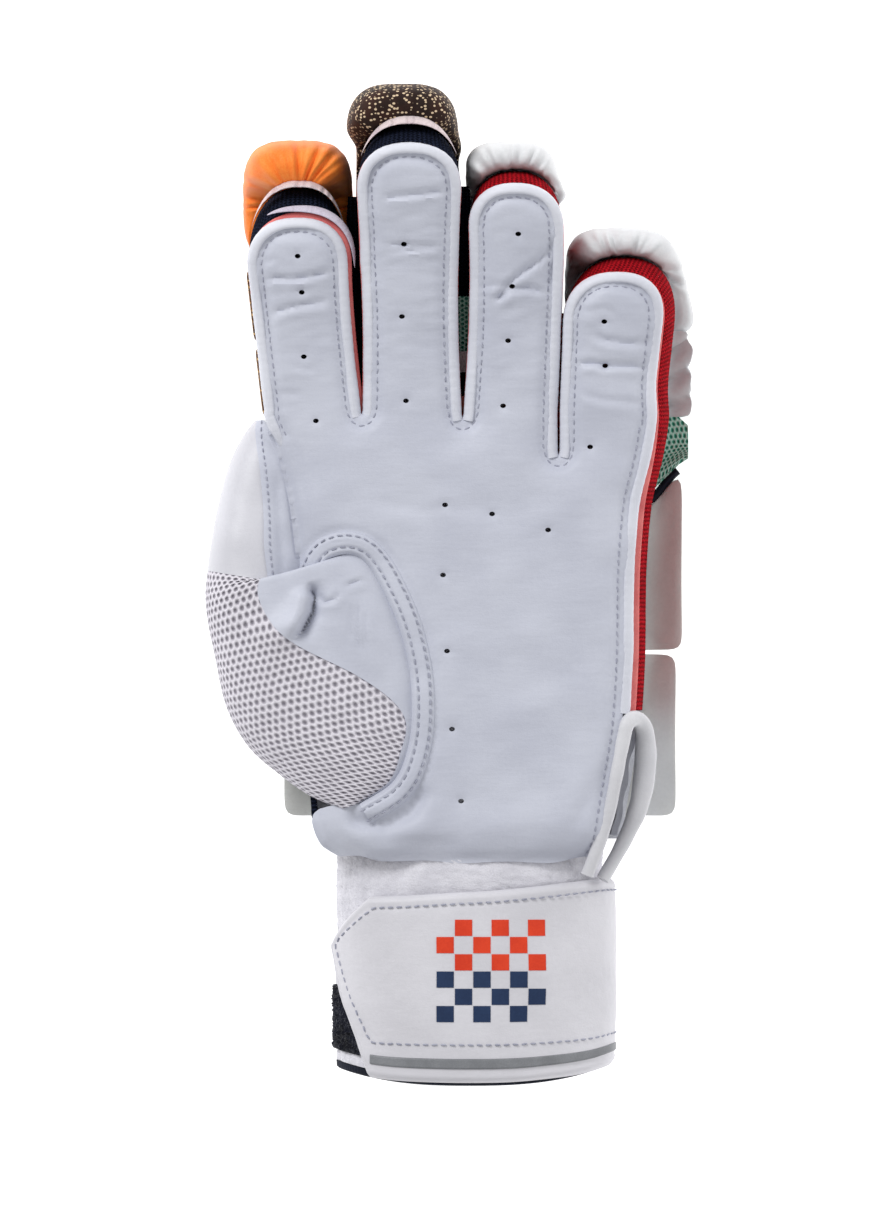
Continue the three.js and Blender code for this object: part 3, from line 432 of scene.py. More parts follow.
def plate(outline, spacing, holes=(), hole_radius=0.0):
    """Points and triangles that fill an outline in the plan, with round holes left open."""
    low, high = outline.min(0), outline.max(0)
    ys = np.arange(low[1], high[1], spacing * 0.866)
    xs = np.arange(low[0], high[0], spacing)
    x, y = np.meshgrid(xs, ys)
    x = x + (np.arange(len(ys)) % 2)[:, None] * spacing / 2
    x, y = x.ravel(), y.ravel()
    keep = inside(x, y, outline)
    keep &= nearest(x, y, np.concatenate([outline, outline[:1]]))[0] > 0.55 * spacing
    turns = turns_of(HOLE_SIDES)
    rings = []
    for cx, cy in holes:
        keep &= np.hypot(x - cx, y - cy) > hole_radius + 0.4 * spacing
        ring_y = cy + HOLE_SQUASH * hole_radius * np.sin(turns)
        rings.append(np.stack([cx + hole_radius * np.cos(turns), ring_y], 1))
    loops = [outline, *rings]
    points = np.concatenate([*loops, np.stack([x[keep], y[keep]], 1)])
    edges, start = [], 0
    for loop in loops:
        edges += [(start + i, start + (i + 1) % len(loop)) for i in range(len(loop))]
        start += len(loop)
    made = geometry.delaunay_2d_cdt([Vector(p) for p in points.tolist()], edges, [], 1, 1e-6)
    flat, faces = np.array([list(v) for v in made[0]]), np.array(made[2])
    centres = flat[faces].mean(axis=1)
    open_face = np.zeros(len(faces), bool)
    for cx, cy in holes:
        open_face |= np.hypot(centres[:, 0] - cx, (centres[:, 1] - cy) / HOLE_SQUASH) < hole_radius * 0.97
    return flat, faces[~open_face]


def thicken(flat, faces, top, thickness):
    """A plate's top surface and the same surface below it, walled in along every open edge."""
    under = len(flat)
    edges = np.concatenate([faces[:, [0, 1]], faces[:, [1, 2]], faces[:, [2, 0]]])
    _, index, counts = np.unique(np.sort(edges, axis=1), axis=0, return_index=True, return_counts=True)
    rim = edges[index[counts == 1]]
    walls = np.stack([rim[:, 1], rim[:, 0], rim[:, 0] + under, rim[:, 1] + under], 1)
    points = np.concatenate([np.column_stack([flat, top]), np.column_stack([flat, top - thickness])])
    return points, [*faces.tolist(), *(faces[:, ::-1] + under).tolist(), *walls.tolist()]


def merged(shapes):
    """Several bodies' points and faces as one."""
    points, faces, start = [], [], 0
    for made, quads in shapes:
        points.append(made)
        faces += [[start + v for v in face] for face in quads]
        start += len(made)
    return np.concatenate(points), faces


def sheet_weave(u, v):
    """Where a pattern lies on both sides of a sheet."""
    weave = np.stack([u, v, 0 * v], -1).reshape(-1, 3)
    return {"weave": np.concatenate([weave, weave])}


def tube_weave(u, v):
    """Where a pattern lies on a tube and on the middles of its two ends."""
    weave = np.stack([u, v, 0 * v], -1)
    return {"weave": np.concatenate([weave.reshape(-1, 3), weave[:1].mean(axis=1), weave[-1:].mean(axis=1)])}


def make_piece(name, shape, material, nodes=(), crisp=50, fields=None):
    """A piece of the glove from points in millimetres and faces; fields are named point values."""
    points, faces = shape
    mesh = bpy.data.meshes.new(name)
    placed = (np.asarray(points, float) + SHIFT) * MM
    mesh.from_pydata(placed.tolist(), [], faces.tolist() if isinstance(faces, np.ndarray) else faces)
    for field, values in (fields or {}).items():
        attribute = mesh.attributes.new(field, "FLOAT_VECTOR", "POINT")
        attribute.data.foreach_set("vector", np.asarray(values, np.float32).ravel())
    body = bmesh.new()
    body.from_mesh(mesh)
    bmesh.ops.recalc_face_normals(body, faces=body.faces)
    body.to_mesh(mesh)
    body.free()
    mesh.shade_smooth()
    mesh.set_sharp_from_angle(angle=math.radians(crisp))
    mesh.materials.append(material)
    piece = bpy.data.objects.new(name, mesh)
    bpy.context.scene.collection.objects.link(piece)
    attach(piece, "root")
    if nodes:
        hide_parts(*nodes)
    return piece


# Materials


def colour(red, green, blue):
    """A colour of 0 to 255 as the shader's linear values."""
    parts = [c / 255 for c in (red, green, blue)]
    return (*[p / 12.92 if p <= 0.04045 else ((p + 0.055) / 1.055) ** 2.4 for p in parts], 1.0)


class Paint:
    """A material's nodes, with short calls for the few kinds used here."""

    def __init__(self, name, roughness=0.6, sheen=0.0, specular=0.4):
        self.material = bpy.data.materials.new(name)
        self.material.use_nodes = True
        self.nodes, self.links = self.material.node_tree.nodes, self.material.node_tree.links
        self.shader = self.nodes["Principled BSDF"]
        self.shader.inputs["Roughness"].default_value = roughness
        self.shader.inputs["Sheen Weight"].default_value = sheen
        self.shader.inputs["Specular IOR Level"].default_value = specular
        self.place = self.nodes.new("ShaderNodeTexCoord").outputs["Object"]
        self.relief = None

    def put(self, socket, value):
        if isinstance(value, bpy.types.NodeSocket):
            self.links.new(value, socket)
        else:
            socket.default_value = value

    def field(self, name):
        node = self.nodes.new("ShaderNodeAttribute")
        node.attribute_name = name
        return node.outputs["Vector"]

    def axes(self, vector):
        node = self.nodes.new("ShaderNodeSeparateXYZ")
        self.put(node.inputs[0], vector)
        return node.outputs

    def math(self, operation, a, b=0.0, c=0.0):
        node = self.nodes.new("ShaderNodeMath")
        node.operation = operation
        for socket, value in zip(node.inputs, (a, b, c)):
            self.put(socket, value)
        return node.outputs[0]

    def plus(self, a, b):
        return self.math("ADD", a, b)

    def minus(self, a, b):
        return self.math("SUBTRACT", a, b)

    def times(self, a, b):
        return self.math("MULTIPLY", a, b)

    def sine(self, a):
        return self.math("SINE", a)

    def scaled(self, vector, x, y, z):
        node = self.nodes.new("ShaderNodeVectorMath")
        node.operation = "MULTIPLY"
        self.put(node.inputs[0], vector)
        node.inputs[1].default_value = (x, y, z)
        return node.outputs[0]

    def noise(self, size, detail=3.0, vector=None, roughness=0.55):
        """Noise with swells of about a size in millimetres."""
        node = self.nodes.new("ShaderNodeTexNoise")
        self.put(node.inputs["Vector"], self.place if vector is None else vector)
        node.inputs["Scale"].default_value = 1 / size if vector is not None else 1 / (size * MM)
        node.inputs["Detail"].default_value = detail
        node.inputs["Roughness"].default_value = roughness
        return node.outputs["Fac"]

    def cells(self, vector, scale, randomness=1.0):
        node = self.nodes.new("ShaderNodeTexVoronoi")
        self.put(node.inputs["Vector"], vector)
        node.inputs["Scale"].default_value = scale
        node.inputs["Randomness"].default_value = randomness
        return node.outputs["Distance"]

    def ramp(self, value, low, high, soft=True):
        """0 below low and 1 above high."""
        node = self.nodes.new("ShaderNodeMapRange")
        node.interpolation_type = "SMOOTHSTEP" if soft else "LINEAR"
        self.put(node.inputs["Value"], value)
        node.inputs["From Min"].default_value = low
        node.inputs["From Max"].default_value = high
        return node.outputs["Result"]

    def mix(self, factor, first, second):
        node = self.nodes.new("ShaderNodeMix")
        node.data_type = "RGBA"
        self.put(node.inputs["Factor"], factor)
        self.put(node.inputs[6], first)
        self.put(node.inputs[7], second)
        return node.outputs[2]

    def base(self, value):
        self.put(self.shader.inputs["Base Color"], value)

    def bump(self, height, depth, strength=1.0):
        """Adds relief of a depth in millimetres."""
        node = self.nodes.new("ShaderNodeBump")
        node.inputs["Strength"].default_value = strength
        node.inputs["Distance"].default_value = depth * MM
        self.put(node.inputs["Height"], height)
        if self.relief is not None:
            self.links.new(self.relief, node.inputs["Normal"])
        self.relief = node.outputs["Normal"]
        self.links.new(self.relief, self.shader.inputs["Normal"])


def leather(name, tone, shade, roughness=0.55, wrinkle=0.25, specular=0.35):
    """Smooth leather: fine pores, soft creases that run across the hand, and slow changes of tone."""
    paint = Paint(name, roughness, specular=specular)
    slow = paint.noise(26, 2)
    fine = paint.noise(1.1, 4)
    patches = paint.plus(paint.times(slow, 0.75), paint.times(fine, 0.25))
    paint.base(paint.mix(paint.ramp(patches, 0.32, 0.68), shade, tone))
    across = paint.scaled(paint.place, 0.35, 1.6, 1.0)
    paint.bump(paint.noise(3.2 * MM, 3, across), wrinkle)
    paint.bump(paint.noise(0.5, 2), 0.05)
    return paint.material


def knit(name, dark, bright, pitch=1.25, depth=0.35):
    """Ribbed knit: plaited rows that run along the band, coloured darker in their grooves as painted shade.
    """
    paint = Paint(name, 0.95, specular=0.04)
    u, v, _ = paint.axes(paint.field("weave"))
    sway = paint.times(paint.math("PINGPONG", v, pitch / 2), 0.9)
    stitch = paint.sine(paint.times(paint.plus(u, sway), 2 * math.pi / pitch))
    rows = paint.sine(paint.times(v, 2 * math.pi / (0.8 * pitch)))
    loops = paint.plus(paint.times(stitch, 0.5), paint.times(rows, 0.3))
    fuzz = paint.noise(0.35, 4)
    height = paint.plus(loops, paint.times(fuzz, 0.9))
    # Colour follows the knit's relief: painted shade in the low places between the loops, mixed with slow
    # random mottling
    groove_shade_and_mottle = paint.plus(paint.times(height, 0.5), paint.times(paint.noise(5, 2), 0.5))
    paint.base(paint.mix(paint.ramp(groove_shade_and_mottle, 0.1, 0.95), dark, bright))
    paint.bump(height, depth)
    return paint.material


def lattice(paint, u, v, pitch):
    """Round openings on a triangular lattice: 1 in an opening's middle, 0 on the threads."""
    total = 0.0
    for angle in (0, math.pi / 3, 2 * math.pi / 3):
        x = paint.times(u, math.cos(angle) * 4 * math.pi / (pitch * math.sqrt(3)))
        y = paint.times(v, math.sin(angle) * 4 * math.pi / (pitch * math.sqrt(3)))
        total = paint.plus(total, paint.math("COSINE", paint.plus(x, y)))
    return paint.math("MULTIPLY_ADD", total, 1 / 4.5, 1.5 / 4.5)


def netting(name, thread, shade, ring, hole, pitch):
    """Open netting over a darker cloth: pale threads, and openings that darken to their middles with painted
    shade.
    """
    paint = Paint(name, 0.85, specular=0.15)
    u, v, _ = paint.axes(paint.field("weave"))
    wander = paint.times(paint.minus(paint.noise(9, 1), 0.5), 0.5 * pitch)
    opening = lattice(paint, paint.plus(u, wander), paint.plus(v, wander), pitch)
    uneven = paint.plus(opening, paint.times(paint.minus(paint.noise(0.7, 3), 0.5), 0.42))
    strands = paint.mix(paint.noise(0.6, 3), shade, thread)
    # From ring at an opening's edge to hole in its middle: the darker cloth, with painted shade deepening
    # into the opening
    openings = paint.mix(paint.ramp(uneven, 0.5, 0.85), ring, hole)
    paint.base(paint.mix(paint.ramp(uneven, 0.2, 0.38), strands, openings))
    paint.bump(uneven, -0.5)
    return paint.material


def specks(name, ground, speck, pitch, shade, size=0.27):
    """A cloth printed with small specks."""
    paint = Paint(name, 0.7, specular=0.2)
    spread = paint.scaled(paint.place, 0.85 / (pitch * MM), 1.15 / (pitch * MM), 1 / (pitch * MM))
    distance = paint.cells(spread, 1.0, 0.75)
    spots = paint.minus(1.0, paint.ramp(distance, size, size + 0.1))
    patchy = paint.mix(paint.ramp(paint.noise(7, 2), 0.35, 0.65), ground, shade)
    paint.base(paint.mix(spots, patchy, speck))
    paint.bump(paint.noise(0.5, 3), 0.12)
    return paint.material


def cloth(name, tone, shade, roughness=0.85, grain=0.5, depth=0.15, sheen=0.15, slow_size=8):
    """A plain soft surface with a fine grain."""
    paint = Paint(name, roughness, sheen=sheen, specular=0.25)
    blend = paint.plus(paint.times(paint.noise(slow_size, 2), 0.6), paint.times(paint.noise(grain, 3), 0.4))
    paint.base(paint.mix(paint.ramp(blend, 0.34, 0.66), shade, tone))
    paint.bump(paint.noise(grain, 3), depth)
    return paint.material


PALM = leather("palm_leather", colour(196, 199, 211), colour(186, 189, 202), 0.5, 0.13)
SLIT_WHITE = leather("slit_leather", colour(212, 212, 216), colour(200, 200, 205), 0.48, 0.15)
EDGE = leather("edge_leather", colour(214, 216, 225), colour(202, 204, 214), 0.48, 0.15)
PANEL = leather("thumb_panel_leather", colour(206, 206, 213), colour(197, 197, 204), 0.4, 0.08)
# The next two are one white leather in two tones set for the light: the first, for the ring and little finger
# rolls, is painted darker as painted shade against the strong light on them; the second, for the back blocks
# and the thumb's back and pads, is painted lighter as painted light lifting them out of the hand's shadow
ROLL_WHITE_PAINTED_SHADE = leather("roll_leather", colour(214, 215, 217), colour(199, 200, 203), 0.45, 0.15)
PAD_WHITE_PAINTED_LIGHT = leather("pad_leather_painted_light", colour(234, 235, 232), colour(222, 223, 220), 0.5, 0.2)
STRAP = leather("strap_leather", colour(214, 213, 219), colour(203, 202, 208), 0.5, 0.1)
NAVY = knit("navy_knit", colour(10, 13, 23), colour(38, 44, 64))
RED = knit("red_knit", colour(98, 8, 16), colour(206, 29, 41))
CORAL = cloth("coral_lining", colour(230, 130, 126), colour(208, 104, 104), 0.9, 0.4, 0.12, 0.0)
FRILL = cloth("frill_lining", colour(226, 210, 210), colour(186, 170, 178), 0.8, 0.5, 0.25, 0.05)
FACING = cloth("facing_lining", colour(212, 206, 220), colour(192, 184, 200), 0.8, 0.5, 0.2, 0.05)
ORANGE = cloth("orange_roll", colour(251, 145, 60), colour(244, 117, 33), 0.55, 0.5, 0.06, 0.1)
BROWN = specks("brown_print", colour(34, 20, 16), colour(214, 190, 158), 1.15, colour(52, 28, 20))
GOLD = specks("golden_print", colour(112, 74, 40), colour(214, 172, 108), 1.25, colour(76, 46, 26))
GREEN_PITCH = 1.35
NET_PITCH = 2.15
# The ring and hole colours of both nettings carry the painted shade in their openings
GREEN = netting(
    "green_netting",
    thread=colour(212, 236, 226),
    shade=colour(150, 208, 188),
    ring=colour(92, 172, 146),
    hole=colour(44, 120, 98),
    pitch=GREEN_PITCH,
)
MESH = netting(
    "thumb_netting",
    thread=colour(232, 229, 236),
    shade=colour(206, 202, 211),
    ring=colour(184, 180, 189),
    hole=colour(140, 136, 146),
    pitch=NET_PITCH,
)
TAPE = cloth("navy_tape", colour(22, 28, 44), colour(13, 17, 30), 0.8, 0.4, 0.1, 0.02)
LOOP = cloth("loop_tape", colour(26, 30, 46), colour(10, 12, 22), 0.95, 0.45, 0.6, 0.12)
TERRY = cloth("terry", colour(224, 223, 230), colour(208, 207, 215), 0.95, 0.5, 0.22, 0.1)
BACKING = cloth("back_cloth", colour(214, 215, 219), colour(198, 200, 205), 0.9, 0.7, 0.2)
SILVER = cloth("reflective_stripe", colour(134, 136, 140), colour(118, 120, 124), 0.38, 0.4, 0.04, 0.02)
THREAD = cloth("thread", colour(170, 172, 186), colour(146, 148, 164), 0.7, 0.3, 0.05, 0.0)
CHECK_ORANGE = cloth("check_orange", colour(222, 66, 34), colour(208, 56, 28), 0.45, 0.6, 0.03, 0.05)
CHECK_NAVY = cloth("check_navy", colour(34, 54, 88), colour(28, 46, 78), 0.45, 0.6, 0.03, 0.05)


# Thumb surfaces


def rib(column, k):
    return through(RIBS, "k", column, k)


def rib_ends(k):
    inner = np.stack([rib("inX", k) * HALF_HAND, rib("inY", k) * PALM_LENGTH], -1)
    outer = np.stack([rib("outX", k) * HALF_HAND, rib("outY", k) * PALM_LENGTH], -1)
    return inner, outer


def bezier(a, b, c, d, t):
    return a * (1 - t) ** 3 + 3 * b * t * (1 - t) ** 2 + 3 * c * t * t * (1 - t) + d * t**3


def seat_height(k, y):
    return level_at(y) - lerp(LEATHER / 2, EDGE_DROP, smooth((k - CROTCH_RIB + 1.5) / 2)) - CLEARANCE


def thumb_edge_height(k):
    return PALM_HEIGHT - lerp(3, 0.55 * THUMB_DEPTH, smooth(k / 3)) - 2 * smooth((k - CROTCH_RIB) / 4)


def along_rib(start, end, depth, share):
    away = end - start
    length = np.linalg.norm(away, axis=-1, keepdims=True)
    return start + away / length * np.maximum(0.05, length - depth) * share[..., None]


# The deep fold where the thumb folds towards the palm, and the swells beside it: places are pixels
# of the photograph
FOLD = [(308.8, 582), (315, 598), (312, 613), (303, 630), (292, 642)]
FOLD_DEPTH = 5.2
FOLD_WIDTH = 0.9
FOLD_SWELL = 2.2
SWELLS = table(
    "at size height",
    ((283, 630), 6.5, 2.4),
    ((330, 650), 9.0, -1.6),
    ((350, 640), 9.0, 1.1),
)
THUMB_CREASES = table(
    "line depth width",
    ([(320, 592), (322, 602), (334, 601), (341, 590)], 0.45, 0.7),
    ([(343, 589), (352, 584), (369, 579)], 0.5, 0.6),
    ([(352, 602), (352, 640)], 0.3, 0.7),
    ([(358, 600), (359, 652)], 0.35, 0.6),
    ([(364, 610), (367, 650)], 0.3, 0.7),
    ([(275, 470), (281, 540), (283, 585)], 0.35, 1.6),
)


def crease_relief(x, y, creases):
    """Lines pressed into a surface, each with a low swell on its lower side."""
    total = np.zeros(np.shape(x))
    for crease in creases:
        line = resample([photo(*p) for p in crease["line"]], spacing=1.0)
        length = length_of(line)
        away, along = [a.reshape(np.shape(x)) for a in nearest(x, y, line)]
        fade = smooth(along / (0.2 * length)) * smooth((length - along) / (0.2 * length))
        side = np.interp(along, np.linspace(0, length, len(line)), line[:, 1]) - y
        lip = np.where(side > 0, 0.45, 0.15) * bell(away - 2.1 * crease["width"], 1.5 * crease["width"])
        total += crease["depth"] * fade * (lip - bell(away, crease["width"]))
    return total


def thumb_relief(x, y):
    line = resample([photo(*p) for p in FOLD], spacing=0.8)
    length = length_of(line)
    away, along = [a.reshape(np.shape(x)) for a in nearest(x, y, line)]
    order = np.argsort(line[:, 1])
    left_of = np.interp(y, line[order, 1], line[order, 0]) - x
    ends = smooth(along / 4 + 0.1) * smooth((length - along) / 6 + 0.15)
    groove = -FOLD_DEPTH * np.exp(-away / np.where(left_of > 0, FOLD_WIDTH, 2.2 * FOLD_WIDTH))
    lobe = FOLD_SWELL * bell(left_of - 3.6, 3.0) * (left_of > 0) * smooth(away / 1.4)
    total = (groove + lobe) * ends
    for swell in SWELLS:
        cx, cy = photo(*swell["at"])
        total += swell["height"] * bell(np.hypot(x - cx, y - cy), swell["size"])
    return total + 1.6 * crease_relief(x, y, THUMB_CREASES) + 0.2 * waves(x, y, 12, 5)


def thumb_front(k, across, depth=0.0, folds=1.0):
    """The thumb's palm side: k along the ribs, across from the seam (0) to the outer edge (1)."""
    inner, outer = rib_ends(k)
    crest = PALM_HEIGHT + rib("crest", k) * THUMB_CREST
    seat = seat_height(k, inner[..., 1])
    z = bezier(seat, lerp(seat, crest, 0.75), crest + 2, thumb_edge_height(k), across) - depth
    p = along_rib(inner, outer, depth, bezier(0, 0.33, 1, 1, across))
    inward = smooth(across / 0.12) * smooth((1 - across) / 0.2)
    return np.stack([p[..., 0], p[..., 1], z + folds * inward * thumb_relief(p[..., 0], p[..., 1])], -1)


def thumb_back(k, across, depth=0.0):
    """The thumb's back, from the outer edge (0) round to the hand's side or the valley (1)."""
    inner, outer = rib_ends(k)
    free = smooth((k - CROTCH_RIB + 0.6) / 1.2)
    lip_y = lerp(outer[..., 1], inner[..., 1], 0.5)
    lip_x = palm_side("left", lerp(outer[..., 1], inner[..., 1], 0.6)) - 5 * CLEARANCE
    end = lerp(np.stack([lip_x, lip_y], -1), inner, free[..., None])
    bottom = thumb_edge_height(k) - 0.5 * THUMB_DEPTH * lerp(1, 0.45, smooth((k - 9) / 4)) + depth
    seat = seat_height(k, inner[..., 1]) - LEATHER - 1
    landing = lerp(thumb_edge_height(k) - 0.36 * THUMB_DEPTH, seat, free)
    z = bezier(thumb_edge_height(k), bottom, bottom, landing + depth * 0.2, across)
    p = along_rib(end, outer, depth, bezier(1, 1, 0.3, 0, across))
    return np.stack([p[..., 0], p[..., 1], z], -1)


def oval_seam(off, count, last, first=0.0):
    """The oval seam round the base of the thumb, moved off towards the palm."""
    line = rib_ends(np.linspace(first, last, count))[0]
    step = np.gradient(line, axis=0)
    normal = np.stack([step[:, 1], -step[:, 0]], 1)
    return line + off * normal / np.linalg.norm(normal, axis=1, keepdims=True)


# Stitches and seams


def capsule_rings(width, length, sides=6):
    """A small thread's rings: along its length, with how wide it is there."""
    shares = np.array([[-0.5, 0.25], [-0.38, 0.85], [0, 1.0], [0.38, 0.85], [0.5, 0.25]])
    turns = turns_of(sides)
    return [(length * a, width / 2 * b * np.cos(turns), width / 2 * b * np.sin(turns)) for a, b in shares]


def stitches(path, spacing=STITCH_SPACING, length=STITCH_LENGTH, width=STITCH_WIDTH, seed=3):
    """Threads laid end to end along a path of points in space."""
    path = resample(path, spacing=spacing)
    step = np.gradient(path, axis=0)
    random = np.random.default_rng(seed)
    threads = []
    for place, way in zip(path, step):
        way = way / np.linalg.norm(way)
        side = np.cross([0, 0, 1.0], way)
        side = side / max(np.linalg.norm(side), 1e-9)
        up = np.cross(way, side)
        way = way + side * random.uniform(-0.14, 0.14)
        shares = capsule_rings(width, length)
        rings = [place + way * a + side * b[:, None] + up * c[:, None] for a, b, c in shares]
        threads.append(tube(np.array(rings)))
    return merged(threads)


def thread_piece(name, paths, slot="palm_leather", **sizes):
    """Several seams' stitches joined into one piece."""
    seams = [stitches(path, seed=i, **sizes) for i, path in enumerate(paths)]
    return make_piece(name, merged(seams), THREAD)


# Palm leather: one panel with the four finger fronts and a bay for the thumb

VENT_PIXELS = [
    (298, 257), (304, 357), (316, 421), (302, 293), (402, 317), (406, 401), (404, 245),
    (518, 235), (508, 341), (503, 406), (512, 287), (604, 322), (605, 366), (590, 447),
    (445, 505), (492, 514), (548, 530), (443, 575), (447, 651), (452, 729), (461, 801),
]
CREASES = table(
    "line depth width",
    ([(262, 279), (295, 280), (335, 271)], 0.75, 0.9),
    ([(266, 316), (295, 307), (332, 301)], 0.6, 1.0),
    ([(261, 263), (278, 259)], 0.4, 0.8),
    ([(292, 367), (316, 371)], 0.22, 0.8),
    ([(276, 394), (302, 395)], 0.2, 0.8),
    ([(380, 200), (410, 196.5), (449, 191.5)], 0.7, 0.9),
    ([(379, 246.3), (404, 246.3), (443, 247)], 0.45, 0.7),
    ([(379, 253.5), (410, 252), (443, 248.5)], 0.4, 0.7),
    ([(420, 229), (445, 227)], 0.2, 0.7),
    ([(555, 238), (541, 260), (524, 272), (511, 282), (497, 299), (491, 307)], 0.75, 0.9),
    ([(494, 303), (510, 291), (526, 288), (548, 293)], 0.8, 0.9),
    ([(480, 287), (511, 286)], 0.4, 0.7),
    ([(548, 236), (555, 262), (551, 286)], 0.35, 0.8),
    ([(560, 222), (556, 250)], 0.3, 0.6),
    ([(590, 333), (607, 342), (634, 343.5), (654, 341)], 0.6, 1.0),
    ([(574, 365), (592, 363), (604, 366), (649, 366)], 0.8, 0.9),
    ([(577, 393), (604, 400), (646, 404)], 0.35, 1.0),
    ([(578, 312), (604, 309), (620, 318)], 0.3, 1.0),
    ([(360, 500), (420, 510), (500, 506)], 0.18, 2.0),
    ([(341, 812), (360, 822), (385, 825), (409, 812), (430, 782)], 1.3, 2.6),
    ([(352, 836), (400, 844), (470, 846)], 0.35, 2.5),
    ([(560, 846), (590, 800), (612, 752)], 0.35, 2.4),
    ([(627, 560), (620, 600), (622, 660)], 0.3, 1.2),
)
BAY = oval_seam(0.3, 60, CROTCH_RIB)
BOUND_INSET = 0.5 * BINDING_WIDTH
CROTCH_TUCK = 1.2
VALLEY_FROM = BAY[-1][1] + 1


# The heel's rounded corner below the thumb, as pixels of the photograph
HEEL_LOBE = [(313, 814), (319, 809), (329, 806), (341, 804), (351, 803)]


def palm_outline():
    """The leather's own edge, hidden in the bindings and under the thumb's fold."""
    feet = [crotch_y(k) - CROTCH_TUCK for k in range(5)]
    fingers = [finger_path(f, -BOUND_INSET, 0, feet[f], feet[f + 1], 80) for f in range(4)]
    pieces = [
        side_path("left", 1.5, BAY[0][1] - 5, 8),
        np.array([photo(*p) for p in HEEL_LOBE]),
        BAY,
        side_path("left", VALLEY_FROM + 2, crotch_y(0) - 3, 20, 0.9),
        *fingers,
        side_path("right", crotch_y(4) - 2, SLIT_Y, 30, -BOUND_INSET),
        side_path("right", SLIT_Y - 2, 1.5, 20, -BOUND_INSET - 0.5),
    ]
    across = np.linspace(palm_side("right", 0) - 4, palm_side("left", 0) + 3, 50)
    ends = 1.8 * smooth((-22 - across) / 8) + 1.2 * smooth((across - 26) / 10)
    heel = np.column_stack([across, ends + 0.45 * waves(across, 0 * across, 22, 131)])
    outline = np.concatenate([*pieces, heel, pieces[0][:1]])
    return resample(outline, spacing=PATH_STEP)[:-1]


def crotch_arc(k, radius):
    """A seam's turn below the crotch between two fingers."""
    turns = np.linspace(0, math.pi, 12)
    centre = np.array([line_at(k, crotch_y(k)), crotch_y(k)])
    return centre + np.stack([-radius * np.cos(turns), -1.15 * radius * np.sin(turns)], 1)


SEAM_FOOT = 124.0


def finger_seam():
    """One seam round all four fingers and down the little finger side of the palm."""
    parts = []
    for f in range(4):
        start = SEAM_FOOT if f == 0 else crotch_y(f)
        end = crotch_y(4) if f == 3 else crotch_y(f + 1)
        parts.append(finger_path(f, -STITCH_INSET, 0, start, end))
        if f < 3:
            parts.append(crotch_arc(f + 1, STITCH_INSET))
    parts.append(side_path("right", crotch_y(4) - 1, 3, 40, -STITCH_INSET - 0.6))
    return resample(np.concatenate(parts), spacing=1.3)


PALM_SEAM = finger_seam()
WELT_LINE = oval_seam(0.5 + WELT_WIDTH / 2, 80, CROTCH_RIB - 0.35)
FINE_WRINKLE = 0.07
CREASE_SHARE = 1.55


def palm_relief(x, y):
    shape = np.shape(x)
    away, along = [a.reshape(shape) for a in nearest(x, y, PALM_SEAM)]
    pull = 0.5 + 0.5 * np.cos(2 * math.pi * along / STITCH_SPACING)
    seam = -0.42 * bell(away, 0.75) - 0.22 * pull * bell(away, 1.5)
    edge = nearest(x, y, HAND_OUTLINE)[0].reshape(shape)
    roll = 0.4 * bell(edge - 0.62 * STITCH_INSET, 0.9) + 0.3 * bell(edge - 1.6 * STITCH_INSET, 1.8)
    welt_away = nearest(x, y, WELT_LINE)[0].reshape(shape)
    dip = -0.5 * bell(welt_away - 0.5 * WELT_WIDTH - 0.6, 0.9)
    slow = 0.4 * waves(x, y, 34, 11) + 0.16 * waves(x, y, 11, 12, 1.8)
    fingers = smooth((y - PALM_LENGTH) / 20)
    fine = FINE_WRINKLE * (0.4 + fingers) * waves(x, y, 2.6, 13, 3.5)
    heel = 1.5 * bell(y - 9, 6) - 2.2 * bell(y, 2.6)
    return seam + roll + dip + slow + fine + heel + CREASE_SHARE * crease_relief(x, y, CREASES)


def palm_surface(x, y):
    x, y = np.asarray(x, float), np.asarray(y, float)
    return palm_top(x, y) + palm_relief(x, y)


def on_palm(path, lift=0.12):
    return np.column_stack([path, palm_surface(path[:, 0], path[:, 1]) + lift])


def make_palm():
    holes = [photo(*p) for p in VENT_PIXELS]
    flat, faces = plate(palm_outline(), 1.1, holes, VENT_DIAMETER / 2)
    top = palm_surface(flat[:, 0], flat[:, 1])
    for cx, cy in holes:
        top -= 0.5 * bell(np.hypot(flat[:, 0] - cx, flat[:, 1] - cy), 1.5)
    shape = thicken(flat, faces, top, LEATHER)
    make_piece("palm_leather_panel", shape, PALM, ["palm_leather"])
    thread_piece("palm_stitches", [on_palm(PALM_SEAM)])


make_palm()

# Bindings, linings and stall walls


# How far each stall's band stands past the leather's tip, and how far its lining peeps out
BANDS = table(
    "reach left tip right from",
    (9.2, 0.05, 1.7, 1.1, -9),
    (5.8, 0.25, 0.05, 0.15, -90),
    (4.1, 0.2, 0.1, 0.2, -90),
    (4.9, 0.15, 0.2, 0.5, -90),
)
SIDE_PEEP = 1.7
BAND_STEPS = 220
WALL_STEPS = 16
TIP_LENGTH = 16


def outwards(path):
    step = np.gradient(path, axis=0)
    step[np.linalg.norm(step, axis=1) < 1e-9] = (0, 1e-9)
    return unit(np.stack([-step[:, 1], step[:, 0]], 1))


def swept(path, section):
    """Rings along a path in the plan; section gives, for each point, arrays of outward reach and height."""
    normal = outwards(path)
    reach, height = section(path)
    flat = path[:, None, :] + normal[:, None, :] * reach[..., None]
    return np.concatenate([flat, height[..., None]], -1)


def oval(count, power=2.0):
    turns = turns_of(count)
    c, s = np.cos(turns), np.sin(turns)
    return np.sign(c) * np.abs(c) ** (2 / power), np.sign(s) * np.abs(s) ** (2 / power)


TUCK = 15.0


